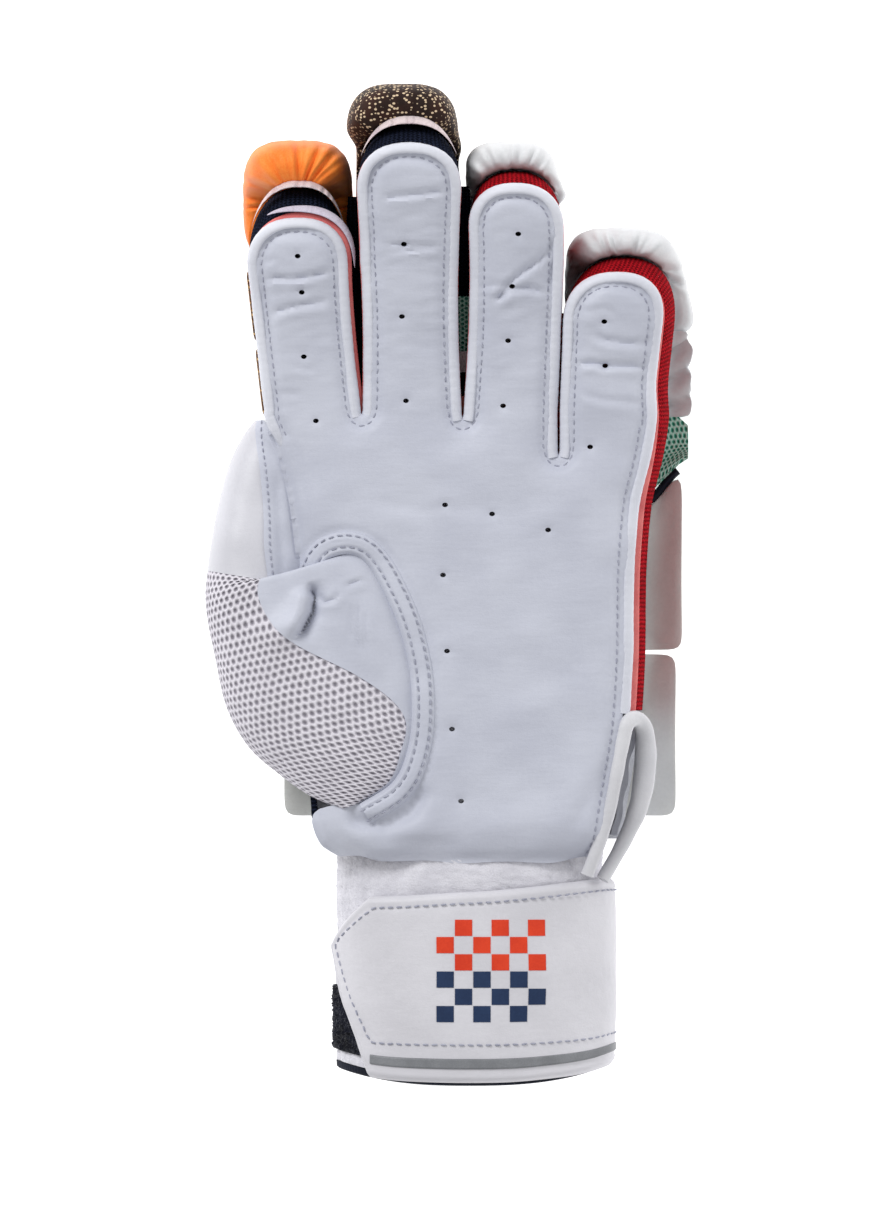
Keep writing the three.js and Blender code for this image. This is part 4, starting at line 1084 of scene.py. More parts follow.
def bound_path(f, grow=0.0):
    """A finger's bound edge; the little finger's runs on down the palm, and crotches draw together."""
    path = finger_path(f, grow)
    tail = -1.9
    tucked = side_path("left", crotch_y(0) - TUCK, crotch_y(0) - 1, 14, grow)
    first = [[line_at(f, crotch_y(f)), crotch_y(f) + tail]] if f else tucked
    last = [[line_at(f + 1, crotch_y(f + 1)), crotch_y(f + 1) + tail]] if f < 3 else []
    down = side_path("right", crotch_y(4) - 2, SLIT_Y - 2, 30, grow) if f == 3 else np.empty((0, 2))
    parts = [p for p in (np.array(first).reshape(-1, 2), path, np.array(last).reshape(-1, 2), down) if len(p)]
    return resample(np.concatenate(parts), spacing=PATH_STEP)


def make_binding(f):
    path = bound_path(f)
    across, up = oval(18, 2.3)
    run = np.arange(len(path))[:, None] * PATH_STEP

    def section(path):
        half = BINDING_WIDTH / 2
        uneven = 0.07 * np.sin(2 * math.pi * run / STITCH_SPACING) + 0.1 * waves(run, 0 * run, 14, 40 + f)
        thin = lerp(0.25, 1, smooth(run / TUCK)) if f == 0 else 1
        reach = -half + across[None, :] * (half + 0.08 + 0.5 * uneven) * thin
        rise_up = 0.55 * thin + up[None, :] * (1.75 + uneven) * thin - 1.5 * (1 - thin)
        height = edge_height(path[:, 1])[:, None] + rise_up - 0.42 * (reach + half)
        return reach, height

    name = FINGERS[f]["name"]
    rings = swept(path, section)
    make_piece(f"binding_{name}_rolled", tube(rings), EDGE, [f"binding_{name}"])


def tip_share(f, path):
    """0 at the crotches and 1 round the fingertip."""
    return smooth((path[:, 1] - tip_y(f) + TIP_LENGTH) / 12)


def make_lining(f):
    path = bound_path(f)
    band, name = BANDS[f], FINGERS[f]["name"]
    across, up = oval(14, 2.6)
    tip = tip_share(f, path)
    apex = int(np.argmax(path[:, 1]))
    side = np.where(np.arange(len(path)) < apex, band["left"], band["right"])
    if f == 3:
        past_tip = np.arange(len(path)) > apex
        side = lerp(side, SIDE_PEEP, smooth((PALM_LENGTH + 6 - path[:, 1]) / 38) * past_tip)
    begins = smooth((np.arange(len(path)) - apex) * PATH_STEP / 5 - band["from"] / 5)
    peep = lerp(side, band["tip"], tip * begins)
    peep = np.convolve(np.pad(peep, 6, mode="edge"), np.ones(13) / 13, mode="valid")

    def section(path):
        half = 1.1 + peep[:, None] / 2
        reach = peep[:, None] - half + across[None, :] * half
        height = edge_height(path[:, 1])[:, None] - BINDING_HEIGHT * 0.62 + 0.62 * up[None, :]
        return reach, height - 0.25 * np.maximum(reach, 0)

    rings = swept(path, section)
    make_piece(f"lining_{name}_edge", tube(rings), CORAL, [f"lining_edge_{name}"])


def wall_paths(f):
    """A wall's top edge under the lining and its foot on the back panel, point for point."""
    back_from = CUFF_TUCK + CLEARANCE + 1

    def path(grow, flare):
        parts = [finger_path(f, grow, flare, count=BAND_STEPS // 2)]
        if f == 0:
            parts.insert(0, side_path("left", back_from, crotch_y(0) - 2, 60, grow))
        if f == 3:
            side = grow + (SIDE_FLARE if flare else 0)
            parts.append(side_path("right", crotch_y(4) - 2, SLIT_Y - 1, 50, side))
        return np.concatenate(parts)

    return path(-0.2, 0), path(-CLEARANCE, BANDS[f]["reach"])


def thumb_hole(path):
    low, high = 0.14 * PALM_LENGTH, 0.7 * PALM_LENGTH
    drop = 17 * smooth((path[:, 1] - low) / 8) * smooth((high - path[:, 1]) / 8)
    return np.where(path[:, 0] < 0, drop, 0)


def make_wall(f):
    top, foot = wall_paths(f)
    share = np.linspace(0, 1, WALL_STEPS)[None, :, None]
    bulge = 1 - (1 - share) ** 5.5
    high = edge_height(top[:, 1]) - BINDING_HEIGHT * 0.75 - thumb_hole(top)
    low = back_top(foot[:, 0], foot[:, 1]) + 0.4
    z = lerp(high[:, None], low[:, None], share[..., 0])
    run = run_of(foot)
    ribs = 0.14 * np.sin(2 * math.pi * (run[:, None] + 0.8 * z) / 1.6)

    def surface(sunk):
        flat = lerp(top[:, None, :], foot[:, None, :], bulge)
        out = outwards(foot)[:, None, :]
        flat = flat + out * (ribs[..., None] - sunk)
        return np.concatenate([flat, z[..., None]], -1)

    outer, inner = surface(0.0), surface(FABRIC)
    points, faces = shell(outer, inner)
    down = np.cumsum(np.linalg.norm(np.diff(outer, axis=1, prepend=outer[:, :1]), axis=2), axis=1)
    weave = sheet_weave(np.broadcast_to(run[:, None], down.shape), down)
    name = FINGERS[f]["name"]
    paint, slot = (NAVY, "navy_knit") if f < 2 else (RED, "red_knit")
    make_piece(f"stall_band_{name}", (points, faces), paint, [f"stall_wall_{name}"], fields=weave)


# Cloth that shows past the fingertips: from and to as shares of the way round the tip, how far past
# the tip it starts and ends, how far below the edge it lies, its pleats, and how much it spreads sideways
CRESCENTS = table(
    "f name start end low high drop material pleats seed side",
    (0, "facing_index", 0.34, 0.98, 1.5, 3.8, 2.2, FACING, 0.1, 5, 0.75),
    (0, "frill_index", 0.2, 0.84, 8.9, 11.0, 8.0, FRILL, 0.4, 6, 0.0),
    (1, "frill_middle", 0.2, 0.8, 5.5, 7.9, 8.0, FRILL, 0.4, 7, 0.0),
)
CRESCENT_STEPS = 240
TIP_STEPS = 260


def crescent(f, name, start, end, low, high, drop, material, pleats, seed, side):
    """Gathered cloth round a fingertip, between two reaches past it."""
    part = slice(int(start * (TIP_STEPS - 1)), int(end * (TIP_STEPS - 1)))
    foot = tip_y(f) - TIP_LENGTH

    def tip(flare):
        whole = finger_path(f, side * flare, (1 - side) * flare, foot, foot, BAND_STEPS)
        return resample(resample(whole, count=TIP_STEPS)[part], count=CRESCENT_STEPS)

    near, far = tip(low), tip(high)
    share = np.linspace(0, 1, CRESCENT_STEPS)
    width = np.sin(np.pi * share) ** 0.6
    across, up = oval(20, 2.4)
    fold = waves(share * 60, 0 * share, 3.4, seed)
    middle = lerp(near, far, 0.5)
    ring = middle[:, None] + (far - near)[:, None] / 2 * (across[None, :] * width[:, None])[..., None]
    folds = pleats * fold[:, None] * (0.4 + 0.6 * np.maximum(up[None, :], 0))
    height = edge_height(middle[:, 1])[:, None] - drop
    height = height + (0.9 * up[None, :] + folds) * (0.3 + 0.7 * width[:, None])
    rings = np.concatenate([ring, (height - 1.1 * across[None, :] * width[:, None])[..., None]], -1)
    make_piece(name, tube(rings), material)


for f in range(4):
    make_binding(f)
    make_lining(f)
    make_wall(f)
for row in CRESCENTS:
    crescent(**row)


STRIP_THICKNESS = 0.8
STRIP_LAP = 0.8


def gap_strip(name, line, low, high, level, paint, slot):
    """A strip of cloth seen down in the gap between two fingers."""
    y = np.linspace(crotch_y(line) + low, crotch_y(line) + high, 40)
    half = gap_at(line, y) / 2 + STRIP_LAP
    x = line_at(line, y)[:, None] + half[:, None] * np.linspace(-1, 1, 7)[None, :]
    y = np.broadcast_to(y[:, None], x.shape)
    outer = np.stack([x, y, back_top(x, y) + level], -1)
    make_piece(name, shell(outer, outer - [0, 0, STRIP_THICKNESS]), paint, fields=sheet_weave(x, y))


# What shows in the gaps: which line, from and to (past the crotch, mm), height over the back panel
# and cloth
GAPS = table(
    "name line low high level paint slot",
    ("gap_index", 1, -1, 62, 4, NAVY, "navy_knit"),
    ("gap_index_lining", 1, -1, 7, 24, CORAL, "coral_lining"),
    ("gap_middle", 2, -1, 66, 4, NAVY, "navy_knit"),
    ("gap_middle_net", 2, 18, 34, 19, GREEN, "green_mesh"),
    ("gap_middle_cloth", 2, 12, 18, 21, FRILL, "white_leather"),
    ("gap_middle_lining", 2, -1, 5, 24, CORAL, "coral_lining"),
    ("gap_ring", 3, -1, 40, 4, RED, "red_knit"),
)
for row in GAPS:
    gap_strip(**row)


# Rolls over the fingertips

ROLL_PAINTS = {
    "index_tip": (ORANGE, "orange_roll"),
    "index_middle": (GOLD, "brown_roll"),
    "index_base": (GOLD, "brown_roll"),
    "middle_tip": (BROWN, "brown_roll"),
    "middle_middle": (BROWN, "brown_roll"),
    "middle_base": (BROWN, "brown_roll"),
    # The ring and little finger rolls take the white leather copy painted darker, painted shade
    "ring_tip": (ROLL_WHITE_PAINTED_SHADE, "white_leather"),
    "ring_middle": (ROLL_WHITE_PAINTED_SHADE, "white_leather"),
    "ring_base": (GREEN, "green_mesh"),
    "little_tip": (ROLL_WHITE_PAINTED_SHADE, "white_leather"),
    "little_base": (ROLL_WHITE_PAINTED_SHADE, "white_leather"),
}
# Where each finger's rolls meet, as shares of FINGER_LENGTH, and its fingertip roll's gathers
ROLLS = table(
    "tip root gathers depth width",
    (0.55, 0.26, 17, 1.3, 0.055),
    (0.7, 0.34, 13, 0.45, 0.08),
    (0.57, 0.27, 15, 1.3, 0.07),
    (0.29, None, 14, 1.5, 0.075),
)
ROLL_ROUND = 3.4
SIDE_SQUARE = 9.0
ROLL_ANGLES = 220
RING_STEPS = 6
FINGER_WIDTH_AT = 18


def roll_top(f):
    return tip_y(f) + FINGERS[f]["overhang"] * ROLL_THICKNESS


def own_side(f, x, y):
    clear = ROLL_GAP / 2
    result = np.ones(np.shape(x), bool)
    if f:
        result &= (y > roll_top(f - 1) + clear) | (x > line_at(f, y) + clear)
    if f < 3:
        result &= (y > roll_top(f + 1) + clear) | (x < line_at(f + 1, y) - clear)
    return result


def reach_of(test, centre, angles):
    near, far = np.zeros(len(angles)), np.full(len(angles), 60.0)
    for _ in range(24):
        r = (near + far) / 2
        within = test(centre[0] + r * np.cos(angles), centre[1] + r * np.sin(angles))
        near, far = np.where(within, r, near), np.where(within, far, r)
    return near


def soften(ring, width):
    """A ring's values smoothed round the ring."""
    span = np.arange(-3 * width, 3 * width + 1)
    kernel = np.exp(-((span / width) ** 2) / 2)
    padded = np.concatenate([ring[-3 * width :], ring, ring[: 3 * width]])
    return np.convolve(padded, kernel / kernel.sum(), mode="valid")


def between(rings, per):
    """More rings on a smooth curve through the given ones."""
    made = []
    for i in range(len(rings) - 1):
        before, after = rings[max(0, i - 1)], rings[min(len(rings) - 1, i + 2)]
        for t in np.linspace(0, 1, per, endpoint=False):
            made.append(curve(before, rings[i], rings[i + 1], after, t))
    return np.array([*made, rings[-1]])


def gathers(f, stage, angles):
    """How far a fingertip roll's folds press in: stage counts its rings from the finger outwards."""
    row, random = ROLLS[f], np.random.default_rng(20 + f)
    folds = np.zeros((len(stage), ROLL_ANGLES))
    fade = smooth((stage - 2.6) / 0.8) * (1 - 0.75 * smooth((stage - 4.2) / 1.6))
    fade = fade * (1 - smooth((stage - 6) / 1.2))
    for i in range(row["gathers"]):
        at = math.pi * (-0.06 + 1.12 * (i + random.uniform(0.15, 0.85)) / row["gathers"])
        depth, width = row["depth"] * random.uniform(0.35, 1.2), row["width"] * random.uniform(0.6, 1.5)
        drift = at + 0.05 * random.uniform(-1, 1) * (stage[:, None] - 4)
        gap = (angles[None, :] - drift + math.pi) % (2 * math.pi) - math.pi
        swell = 0.35 * bell(np.abs(gap) - 2 * width, 1.3 * width)
        folds += depth * (swell - bell(gap, width)) * fade[:, None]
    return folds


def tip_rings(f, angles):
    """A fingertip roll's rings from the finger outwards and under, its middle and half its width."""
    finger = FINGERS[f]
    start = PALM_LENGTH + ROLLS[f]["tip"] * FINGER_LENGTH + ROLL_GAP / 2
    top = roll_top(f)
    left, right = finger_span(f, tip_y(f) - FINGER_WIDTH_AT)
    half = (right - left) / 2 + finger["girth"] * ROLL_THICKNESS
    centre = np.array([(left + right) / 2 + finger["lean"] * ROLL_THICKNESS, (start + top) / 2])

    def over_finger(x, y, grow):
        a, b = finger_span(f, y, grow, BANDS[f]["reach"])
        return (x > a) & (x < b) & (y > start)

    def outline(x, y):
        widest = finger["splay"] * ROLL_THICKNESS
        splay = np.where(x > centre[0], widest * clamp((top - y) / (top - start)), 0)
        along = np.abs((x - centre[0]) / (half + splay))
        up = np.abs((y - centre[1]) / ((top - start) / 2))
        power = np.where((y < centre[1]) & (x > centre[0]) & (f == 3), SIDE_SQUARE, ROLL_ROUND)
        pillow = along**power + up**power < 1
        return (pillow | ((y > centre[1]) & over_finger(x, y, 3.2))) & own_side(f, x, y)

    def under(x, y):
        return back_top(x, y) - FABRIC - CLEARANCE

    outer = soften(reach_of(outline, centre, angles), 3)
    inner = np.minimum(reach_of(lambda x, y: over_finger(x, y, 0.3), centre, angles), outer - 0.6)
    inner = soften(inner, 3)
    up = smooth((np.sin(angles) - 0.05) / 0.6)
    rim = 0.5 * (PALM_HEIGHT - BACK_HEIGHT - EDGE_DROP)

    def ring(reach, height):
        x, y = centre[0] + reach * np.cos(angles), centre[1] + reach * np.sin(angles)
        return np.stack([x, y, height(x, y)], -1)

    def bottom(y):
        return np.maximum(0, under(centre[0], y) - ROLL_THICKNESS)

    rings = [
        ring(inner * 0.05, under),
        ring(inner * 0.6, under),
        ring(inner, under),
        ring(inner + 0.1, lambda x, y: under(x, y) + up * rim * 1.3),
        ring(lerp(inner, outer, 0.4), lambda x, y: under(x, y) + up * rim * 1.5 - 0.3 * (1 - up)),
        ring(lerp(inner, outer, 0.82), lambda x, y: under(x, y) + up * rim * 1.16 - 2 * (1 - up)),
        ring(outer, lambda x, y: lerp(under(x, y), bottom(y), 0.36 - 0.2 * up) + up * 7),
        ring(outer * 0.975, lambda x, y: lerp(under(x, y), bottom(y), 0.72)),
        ring(outer * 0.86, lambda x, y: lerp(under(x, y), bottom(y), 0.96)),
        ring(outer * 0.5, lambda x, y: bottom(y)),
        ring(outer * 0.05, lambda x, y: bottom(y)),
    ]
    return rings, centre, half


def make_tip_roll(f):
    name, angles = f"{FINGERS[f]['name']}_tip", turns_of(ROLL_ANGLES) - math.pi / 2
    rings, centre, half = tip_rings(f, angles)
    fine = between(rings, RING_STEPS)
    stage = np.linspace(0, len(rings) - 1, len(fine))
    folds = gathers(f, stage, angles)
    puff = 0.35 * waves(fine[..., 0], fine[..., 1], 16, 50 + f) * smooth((stage - 2.5) / 1.5)[:, None]
    fine[..., 2] += (folds + puff) * (fine[..., 2] > 1.0)
    fine[..., 2] = np.maximum(fine[..., 2], 0.0)
    out = fine[..., :2] - centre
    out = out / np.maximum(np.linalg.norm(out, axis=-1, keepdims=True), 1e-6)
    fine[..., :2] += out * (0.45 * folds)[..., None]
    down = np.cumsum(np.linalg.norm(np.diff(fine, axis=0, prepend=fine[:1]), axis=2).mean(axis=1))
    weave = tube_weave(*np.broadcast_arrays(angles * half * 0.95, down[:, None]))
    paint, slot = ROLL_PAINTS[name]
    make_piece(f"roll_{name}_pad", tube(fine), paint, [f"roll_{name}"], fields=weave)


# Cushions under the back panel

CUSHION_PROFILE = [
    (0.03, 0), (0.6, 0), (0.93, 0.0), (0.985, 0.05), (1.0, 0.2), (1.0, 0.42), (0.984, 0.5), (0.998, 0.58),
    (0.98, 0.78), (0.93, 0.92), (0.82, 0.985), (0.5, 1.0), (0.03, 1.0),
]
CUSHION_ANGLES = 124
CUSHION_STEPS = 3
RIM_ROUND = 14
SQUARE_CORNER = 14.0
SOFT_CORNER = 6.0


def under_back(x, y):
    return back_top(x, y) - FABRIC - 1.6 * CLEARANCE


def side_wrap(x, y):
    return 4 * smooth((x - palm_side("right", y) - SIDE_FLARE - 2) / 9)


def make_cushion(node, x0, x1, y0, y1, thickness, wrap=None, paint=None, folds=None, corner=SOFT_CORNER):
    """A pad hung under the back panel: flat above, full at its sides, flat where it rests."""
    turns = turns_of(CUSHION_ANGLES) - math.pi / 2
    c, s = np.cos(turns), np.sin(turns)
    a, b = (x1 - x0) / 2, (y1 - y0) / 2
    reach = (np.abs(c / a) ** corner + np.abs(s / b) ** corner) ** (-1 / corner)
    centre = np.array([(x0 + x1) / 2, (y0 + y1) / 2])
    rings = []
    for share, down in CUSHION_PROFILE:
        inset = (1 - share) * reach if share < 0.9 else (1 - share) * RIM_ROUND * np.ones(CUSHION_ANGLES)
        r = np.maximum(reach - inset, 0.02 * reach)
        x, y = centre[0] + r * c, centre[1] + r * s
        z = under_back(x, y) + (wrap(x, y) if wrap else 0) - down * thickness
        rings.append(np.stack([x, y, z], -1))
    fine = between(np.array(rings), CUSHION_STEPS)
    if folds is not None:
        fine = folds(fine)
    fine[..., 2] += 0.22 * waves(fine[..., 0], fine[..., 1], 18, len(node)) * (fine[..., 2] > 1)
    fine[..., 2] = np.maximum(fine[..., 2], 0)
    down = np.cumsum(np.linalg.norm(np.diff(fine, axis=0, prepend=fine[:1]), axis=2), axis=0)
    weave = tube_weave(np.broadcast_to(turns * (a + b) / 2, down.shape), down)
    material, slot = paint
    make_piece(f"{node}_pad", tube(fine), material, [node], fields=weave)


def little_folds(fine):
    """The puffy wrinkled side of the little finger's lower roll."""
    x, y, z = fine[..., 0], fine[..., 1], fine[..., 2]
    outward = smooth((x - line_at(4, y) + 4) / 8)
    slant = y - 0.55 * (x - line_at(4, y))
    ridges = np.abs(np.sin(math.pi * (slant - PALM_LENGTH) / 8.5)) ** 0.6
    fine[..., 0] = x + outward * (1.2 * (ridges - 0.55) + 0.4 * waves(x, y, 6, 71))
    fine[..., 2] = z + outward * 2.2 * (ridges - 0.45) * (z > 4)
    return fine


INDEX_PEEP = 0.9


def index_side(fine):
    """The index finger's lower rolls keep close to its slanting edge."""
    x, y = fine[..., 0], fine[..., 1]
    middle, left = x.mean(), x.min()
    edge = finger_span(0, y)[0] - INDEX_PEEP
    fine[..., 0] = np.where(x < middle, middle + (x - middle) * (middle - edge) / (middle - left), x)
    return fine


def beside_trim(fine):
    """The netted pad and the block below it both follow the trim's rise at the little finger side."""
    x, y = fine[..., 0], fine[..., 1]
    fine[..., 1] = y + trim_rise(x) * (1 - smooth(np.abs(y - knuckle_foot) / TRIM_SPREAD))
    return fine


def gap_shift(f, right):
    if f == 0 and not right:
        return -0.14 * ROLL_THICKNESS
    if f == 3 and right:
        return 0.54 * ROLL_THICKNESS
    return -0.6 if right else 0.6


LITTLE_LAP = 2.4


def make_rolls(f):
    name, row = FINGERS[f]["name"], ROLLS[f]
    make_tip_roll(f)
    joints = [row["tip"], ROLL_FOOT] if row["root"] is None else [row["tip"], row["root"], ROLL_FOOT]
    labels = ["base"] if row["root"] is None else ["middle", "base"]
    for i, label in enumerate(labels):
        high = PALM_LENGTH + joints[i] * FINGER_LENGTH - ROLL_GAP / 2
        low = PALM_LENGTH + joints[i + 1] * FINGER_LENGTH + ROLL_GAP / 2
        high += LITTLE_LAP if f == 3 else 0
        left, right = finger_span(f, (high + low) / 2, 0.4)
        folds = {0: index_side, 3: little_folds}.get(f)
        corner = SQUARE_CORNER if f in (0, 3) else SOFT_CORNER
        paint = ROLL_PAINTS[f"{name}_{label}"]
        x0, x1 = left + gap_shift(f, False), right + gap_shift(f, True)
        make_cushion(f"roll_{name}_{label}", x0, x1, low, high, ROLL_THICKNESS, None, paint, folds, corner)


block_left = -0.86 * HALF_HAND
block_right = HALF_HAND + BLOCK_OVERHANG
knuckle_top = PALM_LENGTH + ROLL_FOOT * FINGER_LENGTH
knuckle_foot = knuckle_top - KNUCKLE_LENGTH
TRIM_RISE = 9.5
TRIM_SPREAD = 19.0


def trim_rise(x):
    return TRIM_RISE * smooth((x - HALF_HAND + 2) / 11)


BLOCK_ROWS = table(
    "name high low left right",
    ("upper", knuckle_foot - 1.4, 0.472 * PALM_LENGTH, block_left, block_right),
    ("lower", 0.462 * PALM_LENGTH, 0.1 * PALM_LENGTH, -0.91 * HALF_HAND, block_right - 1.8),
)
BLOCK_COLUMNS = ["thumb_side", "middle", "little_side"]


KNUCKLE_SHARE = 0.8
TRIM_WIDTH = 1.25
TRIM_SHARE = 0.3


def make_back_panel():
    back_from = CUFF_TUCK + CLEARANCE
    outline = np.concatenate(
        [
            side_path("left", back_from, crotch_y(0), 30, -CLEARANCE),
            *[finger_path(f, -CLEARANCE, TIP_FLARE, count=60) for f in range(4)],
            side_path("right", crotch_y(4), back_from, 30, SIDE_FLARE - CLEARANCE),
        ]
    )
    flat, faces = plate(resample(outline, spacing=2.0), 3.0)
    top = back_top(flat[:, 0], flat[:, 1])
    shape = thicken(flat, faces, top, FABRIC)
    make_piece("back_panel_cloth", shape, BACKING, ["back_panel"])


def make_knuckle_pad():
    """The netted pad across the knuckles and the dark tape along its lower edge."""
    sides = (block_left, block_right + 0.3, knuckle_foot + 1.6, knuckle_top + 1.2)
    thickness, paint = KNUCKLE_SHARE * BLOCK_THICKNESS, (GREEN, "green_mesh")
    make_cushion("knuckle_pad", *sides, thickness, side_wrap, paint, beside_trim, SQUARE_CORNER)
    x = np.linspace(block_right - 1.9, block_left + 3, 120)
    path = resample(np.column_stack([x, knuckle_foot + 0.2 + trim_rise(x)]), spacing=0.8)
    across, up = oval(12, 3)

    def section(path):
        z = under_back(path[:, 0], path[:, 1]) + side_wrap(path[:, 0], path[:, 1])
        reach = np.broadcast_to(TRIM_WIDTH * across, (len(path), len(across)))
        return reach, z[:, None] - 0.25 * BLOCK_THICKNESS + TRIM_SHARE * BLOCK_THICKNESS * up[None, :]

    make_piece("knuckle_trim_tape", tube(swept(path, section)), TAPE, ["knuckle_trim"])


def make_blocks():
    for row in BLOCK_ROWS:
        width = (row["right"] - row["left"]) / len(BLOCK_COLUMNS)
        for i, column in enumerate(BLOCK_COLUMNS):
            x0 = row["left"] + i * width + ROLL_GAP / 2
            node = f"block_{row['name']}_{column}"
            sides = (x0, x0 + width - ROLL_GAP, row["low"], row["high"])
            bend = beside_trim if row["name"] == "upper" else None
            # The blocks take the white leather copy painted lighter, painted light
            paint = (PAD_WHITE_PAINTED_LIGHT, "white_leather")
            make_cushion(node, *sides, BLOCK_THICKNESS, side_wrap, paint, bend, SQUARE_CORNER)


for f in range(4):
    make_rolls(f)
make_back_panel()
make_knuckle_pad()
make_blocks()


# Thumb


def seam_shift(k):
    inner, outer = rib_ends(k)
    return 0.5 / np.linalg.norm(outer - inner, axis=-1)


def thumb_grid(k_from, k_to, rows, across_from, across_to, columns):
    """Even steps along the ribs, and even steps across between two limits."""
    k = np.linspace(k_from, k_to, rows)
    share = np.linspace(0, 1, columns)[None, :]
    across = lerp(across_from(k)[:, None], across_to(k)[:, None], share)
    return np.broadcast_to(k[:, None], (rows, columns)), across


NET_SHRINK = 0.86
NET_RELIEF = 0.16


def all_across(k):
    return 0 * k + 1


def past_seam(k):
    return rib("seam", k) - seam_shift(k)


def under_welt(k):
    return 0 * k - 0.015


def to_seam(k):
    return rib("seam", k) + seam_shift(k)


def make_thumb_leather():
    k, across = thumb_grid(0, LAST_RIB, 230, under_welt, to_seam, 60)
    outer, inner = thumb_front(k, across), thumb_front(k, across, LEATHER)
    outer[..., 2] += 0.35
    make_piece("thumb_leather_fold", shell(outer, inner), PALM, ["thumb_leather"])


def net_openings(u, v):
    """The same lattice of openings that the netting's colour follows."""
    step = 4 * math.pi / (NET_PITCH * math.sqrt(3))
    return sum(np.cos(step * (u * math.cos(a) + v * math.sin(a))) for a in (0, math.pi / 3, 2 * math.pi / 3))


def make_thumb_netting():
    k, across = thumb_grid(0, CROTCH_RIB, 240, past_seam, all_across, 88)
    outer, inner = thumb_front(k, across), thumb_front(k, across, LEATHER)
    run = run_of(outer[:, -1, :2]) * NET_SHRINK
    inwards = np.linalg.norm(np.diff(outer[:, ::-1], axis=1, prepend=outer[:, -1:]), axis=2)
    u, v = np.broadcast_to(run[:, None], k.shape), np.cumsum(inwards, axis=1)[:, ::-1]
    outer[..., 2] -= NET_RELIEF * np.maximum(net_openings(u, v), 0)
    shape, weave = shell(outer, inner), sheet_weave(u, v)
    make_piece("thumb_netting_panel", shape, MESH, ["thumb_netting"], fields=weave)


def make_thumb_side():
    k, across = thumb_grid(CROTCH_RIB, LAST_RIB, 120, past_seam, all_across, 60)
    outer, inner = thumb_front(k, across, folds=0.4), thumb_front(k, across, LEATHER, folds=0.4)
    make_piece("thumb_side_shell", shell(outer, inner), PANEL, ["thumb_side_panel"])


def make_thumb_back():
    k, across = thumb_grid(BACK_RIB, LAST_RIB, 140, lambda k: 0 * k, all_across, 50)
    outer, inner = thumb_back(k, across), thumb_back(k, across, LEATHER)
    wrinkle = 0.3 * waves(outer[..., 0], outer[..., 1], 14, 61)
    outer[..., 2] += wrinkle * smooth(across / 0.2) * smooth((1 - across) / 0.2)
    make_piece("thumb_back_shell", shell(outer, inner), PAD_WHITE_PAINTED_LIGHT, ["thumb_back"])


THUMB_PADS = table("node k_from k_to", ("thumb_pad_tip", 9.6, 12.6), ("thumb_pad_base", 4.2, 9.4))


def make_thumb_stitches():
    seam_k = np.linspace(CROTCH_RIB + 0.15, LAST_RIB - 0.2, 120)
    near_seam = thumb_front(seam_k, rib("seam", seam_k) - 1.6 * seam_shift(seam_k))
    near_seam[:, 2] += 0.5
    thread_piece("thumb_seam_stitches", [near_seam], spacing=2.1, length=1.3, width=0.45)


def make_thumb_pad(node, k_from, k_to):
    """A pad on the outside of the thumb's back, between two ribs."""
    share = np.linspace(0, 1, 60)
    k = lerp(k_from, k_to, share)[:, None]
    fill = (1 - np.abs(2 * share - 1) ** 3.5) ** (1 / 3.5) + 0.06
    across = np.linspace(0.22, 0.8, 40)[None, :]
    crown = (1 - np.abs((across - 0.51) / 0.29) ** 3.2) ** (1 / 2.4) * 0.9 + 0.1
    ks, acrosses = np.broadcast_arrays(k, across)
    top = thumb_back(ks, acrosses)
    top[..., 2] -= 7 * CLEARANCE
    low = top.copy()
    low[..., 2] -= crown * fill[:, None] * THUMB_PAD_THICKNESS
    low[..., 2] = np.maximum(low[..., 2], 0.2)
    rings = np.concatenate([top, low[:, ::-1]], axis=1)
    make_piece(f"{node}_cushion", tube(rings), PAD_WHITE_PAINTED_LIGHT, [node])


# The seams' distances out along the welt, how high the welt stands and how thick its strip is
WELT_SEAMS = (2.1, 5.6)
WELT_PUFF = 1.15
WELT_STRIP = 1.6


def make_welt():
    """The strip sewn round the base of the thumb, with its two rows of stitches."""
    line = resample(oval_seam(0.1, 200, CROTCH_RIB - 0.1), spacing=0.8)
    step = np.gradient(line, axis=0)
    normal = unit(np.stack([step[:, 1], -step[:, 0]], 1))
    reach = WELT_WIDTH + 0.5
    offs = np.linspace(0, reach, 26)
    flat = line[:, None, :] + normal[:, None, :] * offs[None, :, None]
    puff = WELT_PUFF * (1 - np.abs(offs / reach * 2 - 1) ** 4) + 0.1
    puff = puff - sum(0.4 * bell(offs - s, 0.55) for s in WELT_SEAMS)
    top = palm_surface(flat[..., 0], flat[..., 1]) + puff[None, :]
    outer = np.concatenate([flat, top[..., None]], -1)
    inner = outer - [0, 0, WELT_STRIP]
    make_piece("thumb_welt_strip", shell(outer, inner), PALM, ["thumb_welt"])
    rows = []
    for off in WELT_SEAMS:
        path = line + off * normal
        rows.append(np.column_stack([path, palm_surface(path[:, 0], path[:, 1]) + 1.0]))
    thread_piece("welt_stitches", rows)


make_thumb_leather()
make_thumb_netting()
make_thumb_side()
make_thumb_back()
for row in THUMB_PADS:
    make_thumb_pad(**row)
make_thumb_stitches()
make_welt()


# Cuff and strap

LOOP_EDGES = (CUFF_FOOT + 0.11 * STRAP_WIDTH, CUFF_FOOT + 0.54 * STRAP_WIDTH)
LOOP_TURNS = (0.5, 0.885)
CORNER_SAVING = 0.85
STRAP_OUT = LOOP_THICKNESS + 2 * CLEARANCE
STRAP_TIP = -0.2
STRAP_SHOULDER = -0.112
STRAP_END = 0.52
STRAP_POINT = 0.76


# The hem lies in an arch: how far its two sides rise, and how far up the cuff that is felt
FOOT_ARCH = 5.0
ARCH_POWER = 2.6
ARCH_REACH = 28.0


